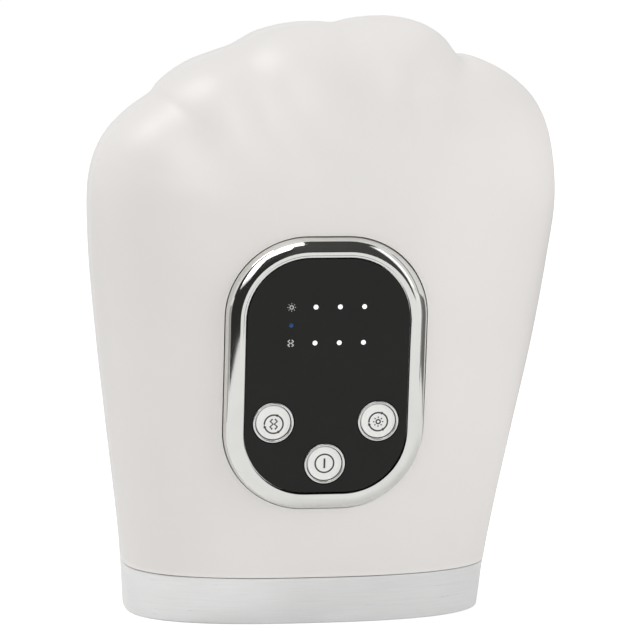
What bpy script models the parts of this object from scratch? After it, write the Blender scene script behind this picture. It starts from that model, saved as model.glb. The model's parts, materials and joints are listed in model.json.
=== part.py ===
# A hand massager shaped like a mitt, standing on its mouth ring.
# +Z is up, the control panel faces -Y and the feet it lies on in use face +Y.
# Depths are measured from the plane where the two casings part: casing_frame
# carries every piece and puts the middle of the whole depth at y = 0.

import math

import bmesh
import bpy
import numpy as np
from mathutils import Matrix, Vector
from mathutils.bvhtree import BVHTree

MM = 0.001
DEGREE = math.pi / 180

# Clearances shared by all the pieces
FIT = 0.3 * MM
CUT_OVERRUN = 4.0 * MM
MERGE_GAP = 0.003 * MM

# Faces that meet below these angles are shaded as one
SMOOTH_ANGLE = 35 * DEGREE
SHELL_SMOOTH_ANGLE = 50 * DEGREE
CLOTH_SMOOTH_ANGLE = 60 * DEGREE

# Casing, seen from the front
CASING_HALF_WIDTH = 80.5 * MM
CASING_HEIGHT = 204.0 * MM
CASING_WALL = 2.4 * MM
FRONT_CREST_DEPTH = 46.5 * MM
FRONT_MOUTH_DEPTH = 31.2 * MM
FRONT_ROUNDNESS = 2.6
REAR_ROUNDNESS = 3.4
REAR_MOUTH_ROUNDNESS = 2.7
REAR_MOUTH_RISE = 6.5 * MM
REAR_LEVEL_HEIGHT = 70.0 * MM
WIDEST_HEIGHT_SHARE = 0.70

# Outline of the mitt from the left foot over the finger lobes to the right
# foot, as shares of the half width and of the height
LEFT_SIDE_SHARES = [(-0.842, 0.0), (-0.8515, 0.080), (-0.865, 0.145), (-0.912, 0.305), (-0.956, 0.455),
                    (-0.990, 0.60)]
LOBE_SHARES = [
    [(-0.997, 0.70), (-0.989, 0.735), (-0.962, 0.774), (-0.919, 0.805), (-0.850, 0.835), (-0.780, 0.857)],
    [(-0.728, 0.872), (-0.700, 0.887), (-0.650, 0.904), (-0.569, 0.924), (-0.480, 0.938)],
    [(-0.388, 0.951), (-0.345, 0.960), (-0.285, 0.973), (-0.205, 0.983), (-0.100, 0.990), (0.0, 0.991)],
    [(0.060, 0.9895), (0.115, 0.995), (0.217, 1.0), (0.315, 1.0), (0.410, 0.992), (0.497, 0.971)],
    [(0.571, 0.938), (0.635, 0.936), (0.716, 0.924), (0.802, 0.904), (0.888, 0.872), (0.946, 0.830),
     (0.978, 0.776), (0.991, 0.70)],
]
RIGHT_SIDE_SHARES = [(0.960, 0.60), (0.902, 0.46), (0.832, 0.325), (0.760, 0.182), (0.7165, 0.080),
                     (0.6925, 0.0)]

# Valleys between the lobes, from the notch down the face, in the same shares
VALLEY_SHARES = [
    [(-0.75, 0.90), (-0.69, 0.86), (-0.45, 0.735)],
    [(-0.40, 0.98), (-0.29, 0.85), (0.0, 0.735)],
    [(0.05, 1.01), (0.19, 0.85), (0.27, 0.75)],
    [(0.60, 0.96), (0.42, 0.90), (0.40, 0.79)],
]
VALLEY_DEPTH = 2.4 * MM
VALLEY_WIDTH = 6.5 * MM
REAR_VALLEY_SHARE = 0.6

# Mesh pitch of the casing
SPOKE_PITCH = 6.5 * MM
SIDE_PITCH = 18.0 * MM
RING_COUNT = 9
OUTLINE_STEPS = 6
SECTION_STEPS = 36
ROUND_STEPS = 16

# Mouth ring
RING_HEIGHT = 16.4 * MM
RING_WALL = 5.0 * MM
RING_EDGE = 0.5 * MM
SPIGOT_RISE = 5.5 * MM
SPIGOT_WALL = 1.8 * MM

# Control panel, tilted with the face of the casing
PANEL_X = -5.6 * MM
PANEL_HEIGHT_SHARE = 0.3794
PANEL_RISE = 2.4 * MM
BEZEL_WIDTH = 67.8 * MM
BEZEL_HEIGHT = 93.4 * MM
BEZEL_CORNER = 27.4 * MM
BEZEL_BAND = 6.1 * MM
BEZEL_LIP = 1.3 * MM
BEZEL_SLOPE_DEPTH = 4.0 * MM
BEZEL_STEPS = 5
BEZEL_DEPTH = 11.2 * MM
SKIRT_WALL = 4.0 * MM
LENS_RECESS = 0.3 * MM
LENS_THICKNESS = 1.6 * MM
LEDGE_WIDTH = 2.4 * MM
LEDGE_THICKNESS = 1.4 * MM

# Buttons: places from the sides and the foot of the panel's frame
SIDE_BUTTON_INSET = 16.15 * MM
SIDE_BUTTON_RISE = 31.1 * MM
LOW_BUTTON_RISE = 16.6 * MM
BUTTON_RING_RADIUS = 6.9 * MM
BUTTON_RING_BAND = 0.8 * MM
BUTTON_RING_PROUD = 0.3 * MM
BUTTON_RING_DEPTH = 2.6 * MM
CAP_SUNK = 0.5 * MM
CAP_THICKNESS = 1.8 * MM
CAP_STEM_RADIUS = 2.2 * MM
BUTTON_TRAVEL = 0.6 * MM
SWITCH_SIZE = 6.0 * MM
SWITCH_HEIGHT = 3.4 * MM
PLUNGER_RADIUS = 1.6 * MM
PLUNGER_PROUD = 0.9 * MM
PLUNGER_SUNK = 0.6 * MM

# Control board and what it carries
BOARD_THICKNESS = 1.2 * MM
LAMP_RADIUS = 1.2 * MM
LAMP_PITCH = 8.17 * MM
SIGN_INSET = 21.4 * MM
UPPER_ROW_DROP = 23.2 * MM
LAMP_ROW_PITCH = 12.15 * MM
BAFFLE_MARGIN = 3.0 * MM
BUZZER_RADIUS = 5.0 * MM
BUZZER_HEIGHT = 3.2 * MM
BUZZER_DROP = 16.7 * MM

# Cells
CELL_RADIUS = 9.2 * MM
CELL_LENGTH = 65.0 * MM
CELL_BUTTON_RADIUS = 2.8 * MM
CELL_BUTTON_HEIGHT = 1.0 * MM
CELL_PAIR_RISE = 2.3 * MM
CELL_GAP = 1.0 * MM
CRADLE_FLOOR = 1.5 * MM
CRADLE_WALL = 1.5 * MM
CRADLE_SIDE = 8.0 * MM
PANEL_CELL_GAP = 1.2 * MM

# Stack from the works plate back to the rear casing
PLATE_THICKNESS = 2.0 * MM
PLATE_LIP = 5.0 * MM
PLATE_MARGIN = 0.6 * MM
PLATE_STRIDES = 16
PLATE_HALVINGS = 14
UPPER_BAG_THICKNESS = 5.5 * MM
PAD_THICKNESS = 0.8 * MM
LINER_WALL = 1.0 * MM
HAND_GAP = 31.0 * MM
NODULE_PLATE_THICKNESS = 1.4 * MM
NODULE_RISE = 2.0 * MM
LOWER_BAG_THICKNESS = 4.0 * MM
REAR_SPACE = 2.8 * MM

# Hand pocket
POCKET_HALF_WIDTH = 47.5 * MM
POCKET_ROUNDNESS = 4.0
FUNNEL_LOW = 12.0 * MM
FUNNEL_ROOM = 2.0 * MM
POCKET_TOP_MARGIN = 28.0 * MM
POCKET_CAP = 24.0 * MM
POCKET_CLOSING_SHARES = [0.0, 0.6, 0.9, 0.99]
FUNNEL_STEPS = 3
HEM_LOW = 1.6 * MM
CLAMP_LOW = 2.4 * MM
CLAMP_HEIGHT = 7.0 * MM
CLAMP_WALL = 1.8 * MM

# Bags, pad and nodules
BAG_SIDE_ROOM = 5.0 * MM
BAG_WINDOW_GAP = 7.0 * MM
BAG_TOP_MARGIN = 16.0 * MM
BAG_EDGE = 1.6 * MM
BAG_CORNER = 14.0 * MM
NODULE_RADIUS = 3.4 * MM
NODULE_PITCH = 17.0 * MM
NODULE_SIDES = 8
NODULE_MARGIN = 11.5 * MM
NODULE_PROFILE_SHARES = [(0.0, 0.33), (0.5, 0.85), (1.0, 1.0)]

# Red and blue lamp board and its window
WINDOW_WIDTH = 44.0 * MM
WINDOW_HEIGHT = 10.0 * MM
LIGHT_BOARD_GAP = 4.0 * MM
LIGHT_BOARD_MARGIN = 3.0 * MM
LIGHT_BOARD_THICKNESS = 1.2 * MM

# Pump, along X above the panel
PUMP_RADIUS = 11.0 * MM
PUMP_PANEL_GAP = 9.0 * MM
PUMP_X = -25.0 * MM
MOTOR_LENGTH = 30.0 * MM
HEAD_LENGTH = 24.0 * MM
HEAD_HALF_SIZE = 10.0 * MM
CRANKCASE_RADIUS = 7.5 * MM
CRANKCASE_DEPTH = 13.0 * MM
SHAFT_RADIUS = 1.2 * MM
SHAFT_IN_MOTOR = 8.0 * MM
SHAFT_IN_HEAD = 9.0 * MM
ECCENTRIC_RADIUS = 4.5 * MM
ECCENTRIC_THROW = 1.4 * MM
ECCENTRIC_LENGTH = 4.0 * MM
NOZZLE_RADIUS = 1.8 * MM
NOZZLE_LENGTH = 3.0 * MM
SADDLE_LENGTH = 20.0 * MM
SADDLE_HALF_HEIGHT = 8.0 * MM
SADDLE_FLOOR = 2.0 * MM
SADDLE_RISE = 6.0 * MM

# Release valve, right of the panel
VALVE_PANEL_GAP = 4.5 * MM
VALVE_RISE = 11.6 * MM
VALVE_HEIGHT = 22.0 * MM
VALVE_HALF_WIDTH = 6.5 * MM
VALVE_DEPTH = 13.0 * MM
VALVE_BORE_RADIUS = 3.0 * MM
VALVE_BORE_DEPTH = 9.0 * MM
VALVE_PLUNGER_LENGTH = 9.0 * MM
VALVE_STROKE = 1.2 * MM

# Hoses
HOSE_RADIUS = 2.0 * MM
HOSE_SIDES = 8
HOSE_STEPS = 16
HOSE_ROOM = 2.4 * MM
UPPER_PORT_INSET = 5.0 * MM
UPPER_PORT_DROP = 14.0 * MM

# Columns and screws that hold the two casings together
COLUMN_RADIUS = 4.2 * MM
COLUMN_LOW_HEIGHT = 74.0 * MM
COLUMN_TOP_DROP = 58.0 * MM
SCREW_RADIUS = 1.5 * MM
SCREW_HEAD_RADIUS = 2.8 * MM
SCREW_HEAD_HEIGHT = 2.2 * MM
SCREW_BITE = 8.0 * MM
SCREW_SEAT_DEPTH = 9.0 * MM
SCREW_DRIVE_RADIUS = 1.2 * MM
SCREW_DRIVE_DEPTH = 1.2 * MM

# Feet
FOOT_RADIUS = 6.5 * MM
FOOT_PROUD = 3.5 * MM
FOOT_SUNK = 1.0 * MM
FOOT_RIM = 2.0 * MM
FOOT_RIM_RISE = 0.6 * MM
FOOT_SPREAD = 36.5 * MM
FOOT_LOW_HEIGHT = 38.0 * MM
FOOT_TOP_DROP = 52.0 * MM
FOOT_EDGE = 0.8 * MM

# Charging socket at the finger end
SOCKET_X = 21.5 * MM
SOCKET_DEPTH = 13.0 * MM
SOCKET_WIDTH = 8.9 * MM
SOCKET_THICKNESS = 3.2 * MM
SOCKET_LENGTH = 7.4 * MM
SOCKET_SKIN = 0.35 * MM
SOCKET_SUNK = 0.8 * MM
SOCKET_BORE = 6.0 * MM
TONGUE_WIDTH = 6.6 * MM
TONGUE_THICKNESS = 0.7 * MM
TONGUE_LENGTH = 4.4 * MM
CHARGE_BOARD_WIDTH = 16.0 * MM
CHARGE_BOARD_LENGTH = 15.0 * MM
CHARGE_BOARD_LAP = 2.8 * MM
CHARGE_BOARD_THICKNESS = 1.2 * MM
POST_RADIUS = 2.0 * MM
POST_SPREAD = 6.0 * MM
POST_DROP = 8.0 * MM

# Widths and heights that follow from the sizes above
BAG_HALF_WIDTH = POCKET_HALF_WIDTH - BAG_SIDE_ROOM
WIDEST_HEIGHT = CASING_HEIGHT * WIDEST_HEIGHT_SHARE
PANEL_HEIGHT = RING_HEIGHT + (CASING_HEIGHT - RING_HEIGHT) * PANEL_HEIGHT_SHARE
PUMP_HEIGHT = PANEL_HEIGHT + BEZEL_HEIGHT / 2 + PUMP_PANEL_GAP + PUMP_RADIUS
CELL_REACH = CELL_RADIUS + CELL_GAP / 2
CELL_HEIGHTS = [PANEL_HEIGHT + CELL_PAIR_RISE - CELL_REACH, PANEL_HEIGHT + CELL_PAIR_RISE + CELL_REACH]
CRADLE_LOW = CELL_HEIGHTS[0] - CELL_RADIUS - FIT - CRADLE_WALL
WINDOW_HIGH = CRADLE_LOW - LIGHT_BOARD_GAP - LIGHT_BOARD_MARGIN
WINDOW_LOW = WINDOW_HIGH - WINDOW_HEIGHT
PLATE_LOW = WINDOW_LOW - PLATE_LIP
FUNNEL_TOP = PLATE_LOW - FUNNEL_ROOM
POCKET_TOP = CASING_HEIGHT - POCKET_TOP_MARGIN
POCKET_FULL_HEIGHT = POCKET_TOP - POCKET_CAP
BAG_LOW = WINDOW_HIGH + BAG_WINDOW_GAP
BAG_HIGH = POCKET_TOP - BAG_TOP_MARGIN
CRADLE_START = PANEL_X - CELL_LENGTH / 2 - FIT - CRADLE_WALL
CRADLE_END = PANEL_X + CELL_LENGTH / 2 + CELL_BUTTON_HEIGHT + FIT + CRADLE_WALL
VALVE_SIDE = max(PANEL_X + BEZEL_WIDTH / 2 + VALVE_PANEL_GAP, CRADLE_END + CELL_GAP)
VALVE_X = VALVE_SIDE + VALVE_HALF_WIDTH
VALVE_LOW = PANEL_HEIGHT + VALVE_RISE
VALVE_PLUNGER_HEIGHT = VALVE_LOW + VALVE_HEIGHT / 4
SIDE_HOSE_HEIGHT = VALVE_LOW + VALVE_HEIGHT / 2
UPPER_PORT_HEIGHT = VALVE_LOW - UPPER_PORT_DROP
COLUMN_HIGH_HEIGHT = CASING_HEIGHT - COLUMN_TOP_DROP
FOOT_HIGH_HEIGHT = CASING_HEIGHT - FOOT_TOP_DROP

# Behind the front face of the panel, in the panel's own frame
LENS_BACK = LENS_RECESS + LENS_THICKNESS
BOARD_FRONT = BEZEL_DEPTH - BOARD_THICKNESS - FIT
SWITCH_FRONT = BOARD_FRONT - FIT - SWITCH_HEIGHT
SIGN_X = SIGN_INSET - BEZEL_WIDTH / 2
UPPER_ROW_RISE = BEZEL_HEIGHT / 2 - UPPER_ROW_DROP
LOWER_ROW_RISE = UPPER_ROW_RISE - LAMP_ROW_PITCH
BUTTON_SPOTS = {
    "left": (SIDE_BUTTON_INSET - BEZEL_WIDTH / 2, SIDE_BUTTON_RISE - BEZEL_HEIGHT / 2),
    "right": (BEZEL_WIDTH / 2 - SIDE_BUTTON_INSET, SIDE_BUTTON_RISE - BEZEL_HEIGHT / 2),
    "bottom": (0.0, LOW_BUTTON_RISE - BEZEL_HEIGHT / 2),
}


# Materials

def material(name, colour, roughness, metallic=0.0):
    made = bpy.data.materials.get(name)
    if made is None:
        made = bpy.data.materials.new(name)
        made.use_nodes = True
        shader = made.node_tree.nodes["Principled BSDF"]
        shader.inputs["Base Color"].default_value = (*colour, 1.0)
        shader.inputs["Roughness"].default_value = roughness
        shader.inputs["Metallic"].default_value = metallic
    return made


MATERIALS = {
    "shell_white": ((0.78, 0.76, 0.74), 0.42, 0.0),
    "silver_trim": ((0.62, 0.62, 0.64), 0.38, 0.9),
    "chrome_trim": ((0.82, 0.82, 0.83), 0.08, 1.0),
    "panel_black": ((0.012, 0.012, 0.012), 0.12, 0.0),
    "button_white": ((0.80, 0.80, 0.79), 0.35, 0.0),
    "board_green": ((0.02, 0.14, 0.06), 0.45, 0.0),
    "inner_black": ((0.03, 0.03, 0.03), 0.55, 0.0),
    "inner_white": ((0.70, 0.70, 0.68), 0.55, 0.0),
    "steel": ((0.55, 0.56, 0.58), 0.30, 1.0),
    "cell_wrap": ((0.05, 0.20, 0.45), 0.40, 0.0),
    "rubber_grey": ((0.12, 0.12, 0.125), 0.85, 0.0),
    "bag_film": ((0.55, 0.57, 0.60), 0.50, 0.0),
    "heat_pad": ((0.35, 0.12, 0.05), 0.70, 0.0),
    "liner_cloth": ((0.16, 0.16, 0.17), 0.95, 0.0),
    "window_clear": ((0.80, 0.82, 0.84), 0.10, 0.0),
    "hose_clear": ((0.72, 0.74, 0.75), 0.30, 0.0),
}


# Mesh helpers

def clear_scene():
    for old in list(bpy.data.objects):
        bpy.data.objects.remove(old, do_unlink=True)


def make_object(name, bm, finish, parent):
    bmesh.ops.recalc_face_normals(bm, faces=bm.faces)
    mesh = bpy.data.meshes.new(name)
    bm.to_mesh(mesh)
    bm.free()
    made = bpy.data.objects.new(name, mesh)
    bpy.context.scene.collection.objects.link(made)
    if finish:
        colour, roughness, metallic = MATERIALS[finish]
        mesh.materials.append(material(finish, colour, roughness, metallic))
    made.parent = parent
    return made


def smooth(made, angle=SMOOTH_ANGLE):
    made.data.shade_smooth()
    made.data.set_sharp_from_angle(angle=angle)
    return made


def combine(target, tool, operation):
    # The tool and the target share one parent, so the cut is made in place.
    tool.hide_render = True
    tool.display_type = "WIRE"
    cut = target.modifiers.new(operation.lower(), "BOOLEAN")
    cut.operation = operation
    cut.object = tool
    bpy.context.view_layer.update()
    graph = bpy.context.evaluated_depsgraph_get()
    result = bpy.data.meshes.new_from_object(target.evaluated_get(graph))
    target.modifiers.remove(cut)
    target.data = result
    bpy.data.objects.remove(tool, do_unlink=True)
    return target


def loft(rows, closed=True, cap_ends=True, joined_ends=False):
    # Rows of points with the same count become one skin.
    bm = bmesh.new()
    grid = [[bm.verts.new(point) for point in row] for row in rows]
    count = len(grid[0])
    around = count if closed else count - 1
    spans = len(grid) if joined_ends else len(grid) - 1
    for row in range(spans):
        here = grid[row]
        above = grid[(row + 1) % len(grid)]
        for step in range(around):
            after = (step + 1) % count
            bm.faces.new((here[step], here[after], above[after], above[step]))
    if cap_ends and not joined_ends:
        bm.faces.new(list(reversed(grid[0])))
        bm.faces.new(grid[-1])
    return bm


def circle_points(radius, steps=ROUND_STEPS):
    return [(radius * math.cos(2 * math.pi * step / steps), radius * math.sin(2 * math.pi * step / steps))
            for step in range(steps)]


def turned(name, profile, axis, origin, finish, parent, steps=ROUND_STEPS):
    # Profile pairs are (distance along the axis, radius), from end to end.
    rows = []
    for along, radius in profile:
        ring = [Vector((x, y, along)) for x, y in circle_points(radius, steps)]
        rows.append(ring)
    bm = loft(rows)
    turn = Vector((0, 0, 1)).rotation_difference(Vector(axis)).to_matrix().to_4x4()
    bmesh.ops.transform(bm, matrix=turn, verts=bm.verts)
    made = make_object(name, bm, finish, parent)
    made.location = origin
    return smooth(made)


def tube_ring(name, profile, axis, origin, finish, parent, steps=ROUND_STEPS):
    # A turned piece with a bore: its profile closes on itself.
    rows = [[Vector((x, y, along)) for x, y in circle_points(radius, steps)] for along, radius in profile]
    bm = loft(rows, cap_ends=False, joined_ends=True)
    turn = Vector((0, 0, 1)).rotation_difference(Vector(axis)).to_matrix().to_4x4()
    bmesh.ops.transform(bm, matrix=turn, verts=bm.verts)
    made = make_object(name, bm, finish, parent)
    made.location = origin
    return smooth(made)


def block(name, low, high, finish, parent):
    bm = bmesh.new()
    bmesh.ops.create_cube(bm, size=1.0)
    low = Vector(low)
    high = Vector(high)
    size = high - low
    place = Matrix.Translation((low + high) / 2) @ Matrix.Diagonal((*size, 1.0))
    bmesh.ops.transform(bm, matrix=place, verts=bm.verts)
    return make_object(name, bm, finish, parent)


def prism(name, outline, low, high, finish, parent):
    # An outline of (x, z) pairs, extruded along Y.
    rows = [[Vector((x, depth, z)) for x, z in outline] for depth in (low, high)]
    return make_object(name, loft(rows), finish, parent)


def rounded_outline(width, height, corner, steps=6, centre=(0.0, 0.0)):
    points = []
    for quarter in range(4):
        across = (1, -1, -1, 1)[quarter] * (width / 2 - corner)
        up = (1, 1, -1, -1)[quarter] * (height / 2 - corner)
        for step in range(steps + 1):
            angle = (quarter + step / steps) * math.pi / 2
            points.append((centre[0] + across + corner * math.cos(angle),
                           centre[1] + up + corner * math.sin(angle)))
    return points


# Shape of the casing

def curve_through(points, steps):
    # A centripetal Catmull-Rom curve, which stays near uneven points
    ends = [2 * points[0] - points[1]] + list(points) + [2 * points[-1] - points[-2]]
    samples = []
    for span in range(len(points) - 1):
        four = ends[span:span + 4]
        knots = [0.0]
        for a, b in zip(four, four[1:]):
            knots.append(knots[-1] + math.sqrt((b - a).length))
        for step in range(steps):
            t = knots[1] + (knots[2] - knots[1]) * step / steps
            level = list(four)
            for order in (1, 2):
                level = [(level[i] * (knots[i + order] - t) + level[i + 1] * (t - knots[i]))
                         / (knots[i + order] - knots[i]) for i in range(len(level) - 1)]
            samples.append((level[0] * (knots[2] - t) + level[1] * (t - knots[1])) / (knots[2] - knots[1]))
    samples.append(points[-1])
    return samples


def scaled(shares):
    return [Vector((x * CASING_HALF_WIDTH, z * CASING_HEIGHT)) for x, z in shares]


def build_outline():
    lobes = [share for lobe in LOBE_SHARES for share in lobe]
    knots = scaled(LEFT_SIDE_SHARES + lobes + RIGHT_SIDE_SHARES)
    samples = curve_through(knots, OUTLINE_STEPS)
    first = len(LEFT_SIDE_SHARES) * OUTLINE_STEPS
    last = (len(LEFT_SIDE_SHARES) + len(lobes) - 1) * OUTLINE_STEPS
    return samples[:first + 1], samples[first:last + 1], samples[last:]


LEFT_CURVE, TOP_CURVE, RIGHT_CURVE = build_outline()
HUB = Vector(((TOP_CURVE[0].x + TOP_CURVE[-1].x) / 2, WIDEST_HEIGHT))


def side_x(height):
    left = np.interp(height, [p.y for p in LEFT_CURVE], [p.x for p in LEFT_CURVE])
    right = np.interp(height, [p.y for p in reversed(RIGHT_CURVE)], [p.x for p in reversed(RIGHT_CURVE)])
    return float(left), float(right)


def spine_x(height):
    left, right = side_x(min(height, WIDEST_HEIGHT))
    return (left + right) / 2


def half_width(height):
    left, right = side_x(min(height, WIDEST_HEIGHT))
    return (right - left) / 2


def front_crown(z):
    rise = math.sin(math.pi / 2 * min(1.0, z / WIDEST_HEIGHT))
    return FRONT_MOUTH_DEPTH + (FRONT_CREST_DEPTH - FRONT_MOUTH_DEPTH) * rise


def rear_crown(z):
    rise = math.sin(math.pi / 2 * min(1.0, z / REAR_LEVEL_HEIGHT))
    return REAR_CREST_DEPTH - REAR_MOUTH_RISE * (1 - rise)


# The front is equally round all the way up; the rear is rounder at the mouth
def front_roundness(z):
    return FRONT_ROUNDNESS


def rear_roundness(z):
    rise = math.sin(math.pi / 2 * min(1.0, z / REAR_LEVEL_HEIGHT))
    return REAR_MOUTH_ROUNDNESS + (REAR_ROUNDNESS - REAR_MOUTH_ROUNDNESS) * rise


def valley(x, z):
    # Depth of the valleys at a place: full by the notch, none at the far end
    here = Vector((x, z))
    deepest = 0.0
    for path in VALLEY_SHARES:
        knots = scaled(path)
        whole = sum((b - a).length for a, b in zip(knots, knots[1:]))
        before = 0.0
        for a, b in zip(knots, knots[1:]):
            run = b - a
            along = max(0.0, min(1.0, (here - a).dot(run) / run.length_squared))
            away = (here - (a + along * run)).length
            left = 1 - (before + along * run.length) / whole
            fade = left * left * (3 - 2 * left)
            deepest = max(deepest, fade * math.exp(-(away / VALLEY_WIDTH) ** 2))
            before += run.length
    return VALLEY_DEPTH * deepest


class Side:
    # One half of the casing: which way it faces, how round it is and how deep its valleys are
    def __init__(self, way, roundness, crown, valley_share):
        self.way = way
        self.roundness = roundness
        self.crown = crown
        self.valley_share = valley_share
        self.tree = None

    def skin(self):
        # The outer skin, in a form that can be measured
        if self.tree is None:
            bm = casing_skin(self, RING_HEIGHT)
            self.tree = BVHTree.FromBMesh(bm)
            bm.free()
        return self.tree

    def room(self, spot, depth):
        # Distance from a place inside the casing to the skin
        return self.skin().find_nearest(Vector((spot.x, self.way * depth, spot.y)))[3]

    def wall_middle(self, x, z):
        # Depth of the middle of the wall, straight behind a point of the skin
        outside = Vector((x, self.way * CASING_HEIGHT, z))
        place, normal, *rest = self.skin().ray_cast(outside, Vector((0, -self.way, 0)))
        return abs(place.y) - CASING_WALL / 2 / abs(normal.y)


def spoke_stations(low):
    # Pairs of an outline point and the point of the spine that it springs from
    rows = max(2, round((WIDEST_HEIGHT - low) / SIDE_PITCH))
    heights = [low + (WIDEST_HEIGHT - low) * row / rows for row in range(rows)]
    stations = [(Vector((side_x(z)[0], z)), Vector((spine_x(z), z))) for z in heights]
    for span in range(0, len(TOP_CURVE) - 1, OUTLINE_STEPS):
        run = TOP_CURVE[span:span + OUTLINE_STEPS + 1]
        length = sum((b - a).length for a, b in zip(run, run[1:]))
        count = max(1, min(OUTLINE_STEPS, round(length / SPOKE_PITCH)))
        for step in range(count):
            stations.append((run[round(step * OUTLINE_STEPS / count)], HUB))
    stations.append((TOP_CURVE[-1], HUB))
    stations += [(Vector((side_x(z)[1], z)), Vector((spine_x(z), z))) for z in reversed(heights)]
    return stations


def casing_skin(side, low):
    # The outer skin of one half as an open grid of spokes and rings
    bm = bmesh.new()
    grid = []
    for outer, foot in spoke_stations(low):
        power = 2 / side.roundness(foot.y)
        spoke = []
        for ring in range(RING_COUNT + 1):
            turn = math.pi / 2 * ring / RING_COUNT
            share = math.sin(turn) ** power
            height = math.cos(turn) ** power if ring < RING_COUNT else 0.0
            place = foot + share * (outer - foot)
            groove = side.valley_share * valley(place.x, place.y) * math.sqrt(height)
            depth = side.crown(place.y) * height - groove + FIT / 2
            spoke.append(bm.verts.new((place.x, side.way * max(depth, FIT / 2), place.y)))
        grid.append(spoke)
    for here, after in zip(grid, grid[1:]):
        for ring in range(RING_COUNT):
            corners = (here[ring], here[ring + 1], after[ring + 1], after[ring])
            bm.faces.new(corners if side.way > 0 else tuple(reversed(corners)))
    bmesh.ops.remove_doubles(bm, verts=bm.verts, dist=MERGE_GAP)
    return bm


def thicken(bm, wall, way, low):
    # Adds the inner skin, keeping the rim in the parting plane and the foot level.
    bm.normal_update()
    inner = {}
    outer_faces = list(bm.faces)
    rim = [edge for edge in bm.edges if edge.is_boundary]
    for vertex in list(bm.verts):
        normal = vertex.normal.copy()
        if abs(vertex.co.y) < FIT / 2 + MERGE_GAP:
            normal.y = 0
        if vertex.co.z < low + MERGE_GAP:
            normal.z = 0
        normal.normalize()
        if normal.y * way < 0:
            normal.y = 0
        inner[vertex] = bm.verts.new(vertex.co - wall * normal)
    for face in outer_faces:
        bm.faces.new([inner[v] for v in reversed(face.verts)])
    for edge in rim:
        a, b = edge.verts
        bm.faces.new((a, b, inner[b], inner[a]))
    return bm


def casing_half(name, side, parent):
    low = RING_HEIGHT + FIT
    bm = thicken(casing_skin(side, low), CASING_WALL, side.way, low)
    return smooth(make_object(name, bm, "shell_white", parent), SHELL_SMOOTH_ANGLE)


# Depths that follow from the sizes, measured from the parting plane

PANEL_LEAN = front_crown(PANEL_HEIGHT + BEZEL_HEIGHT / 2) - front_crown(PANEL_HEIGHT - BEZEL_HEIGHT / 2)
PANEL_TILT = math.atan2(PANEL_LEAN, BEZEL_HEIGHT)
PANEL_DEPTH = front_crown(PANEL_HEIGHT) + PANEL_RISE


def panel_back(z):
    # Depth of the rear edge of the panel's skirt at a height
    return PANEL_DEPTH - BEZEL_DEPTH / math.cos(PANEL_TILT) - (PANEL_HEIGHT - z) * math.tan(PANEL_TILT)


CELL_DEPTH = panel_back(CELL_HEIGHTS[0] - CELL_RADIUS) - PANEL_CELL_GAP - CELL_RADIUS
WORKS_FRONT = CELL_DEPTH - CELL_RADIUS - FIT - CRADLE_FLOOR - FIT
WORKS_BACK = WORKS_FRONT - PLATE_THICKNESS
UPPER_BAG_FRONT = -WORKS_BACK + FIT
PAD_FRONT = UPPER_BAG_FRONT + UPPER_BAG_THICKNESS + FIT
POCKET_FRONT = PAD_FRONT + PAD_THICKNESS + FIT
POCKET_DEPTH = HAND_GAP + 2 * LINER_WALL
NODULE_FRONT = POCKET_FRONT + POCKET_DEPTH + FIT
NODULE_BASE = NODULE_FRONT + NODULE_RISE
LOWER_BAG_FRONT = NODULE_BASE + NODULE_PLATE_THICKNESS + FIT
BASE_FRONT = LOWER_BAG_FRONT + LOWER_BAG_THICKNESS + FIT
BASE_BACK = BASE_FRONT + PLATE_THICKNESS
REAR_CREST_DEPTH = BASE_BACK + REAR_SPACE + CASING_WALL
FOOT_PLANE = REAR_CREST_DEPTH + FOOT_PROUD
FRONT_REACH = PANEL_DEPTH + BEZEL_HEIGHT / 2 * math.sin(PANEL_TILT)
PARTING_Y = (FRONT_REACH - FOOT_PLANE) / 2
SOCKET_TOP = CASING_HEIGHT - SOCKET_SUNK
PUMP_DEPTH = WORKS_FRONT + FIT + SADDLE_FLOOR + FIT + PUMP_RADIUS
HEAD_X = PUMP_X + MOTOR_LENGTH + FIT
VALVE_MIDDLE = WORKS_FRONT + FIT + VALVE_DEPTH / 2

FRONT = Side(-1, front_roundness, front_crown, 1.0)
REAR = Side(1, rear_roundness, rear_crown, REAR_VALLEY_SHARE)


def column_spots():
    spots = []
    for height in (COLUMN_LOW_HEIGHT, COLUMN_HIGH_HEIGHT):
        reach = POCKET_HALF_WIDTH + COLUMN_RADIUS + 2 * FIT
        for way in (-1, 1):
            spots.append((spine_x(height) + way * reach, height))
    return spots


def foot_spots():
    return [(spine_x(height) + way * FOOT_SPREAD, height)
            for height in (FOOT_LOW_HEIGHT, FOOT_HIGH_HEIGHT) for way in (-1, 1)]


def wall_column(name, side, spot, radius, end, parent):
    # A column along Y whose far end follows the middle of the casing's wall
    ring = [(spot[0] + x, spot[1] + z) for x, z in circle_points(radius)]
    near = [Vector((x, side.way * end, z)) for x, z in ring]
    far = [Vector((x, side.way * side.wall_middle(x, z), z)) for x, z in ring]
    return make_object(name, loft([near, far]), None, parent)


def bore(name, spot, radius, start, end, parent):
    origin = (spot[0], start, spot[1])
    return turned(name, [(0, radius), (end - start, radius)], (0, 1, 0), origin, None, parent)


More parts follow.
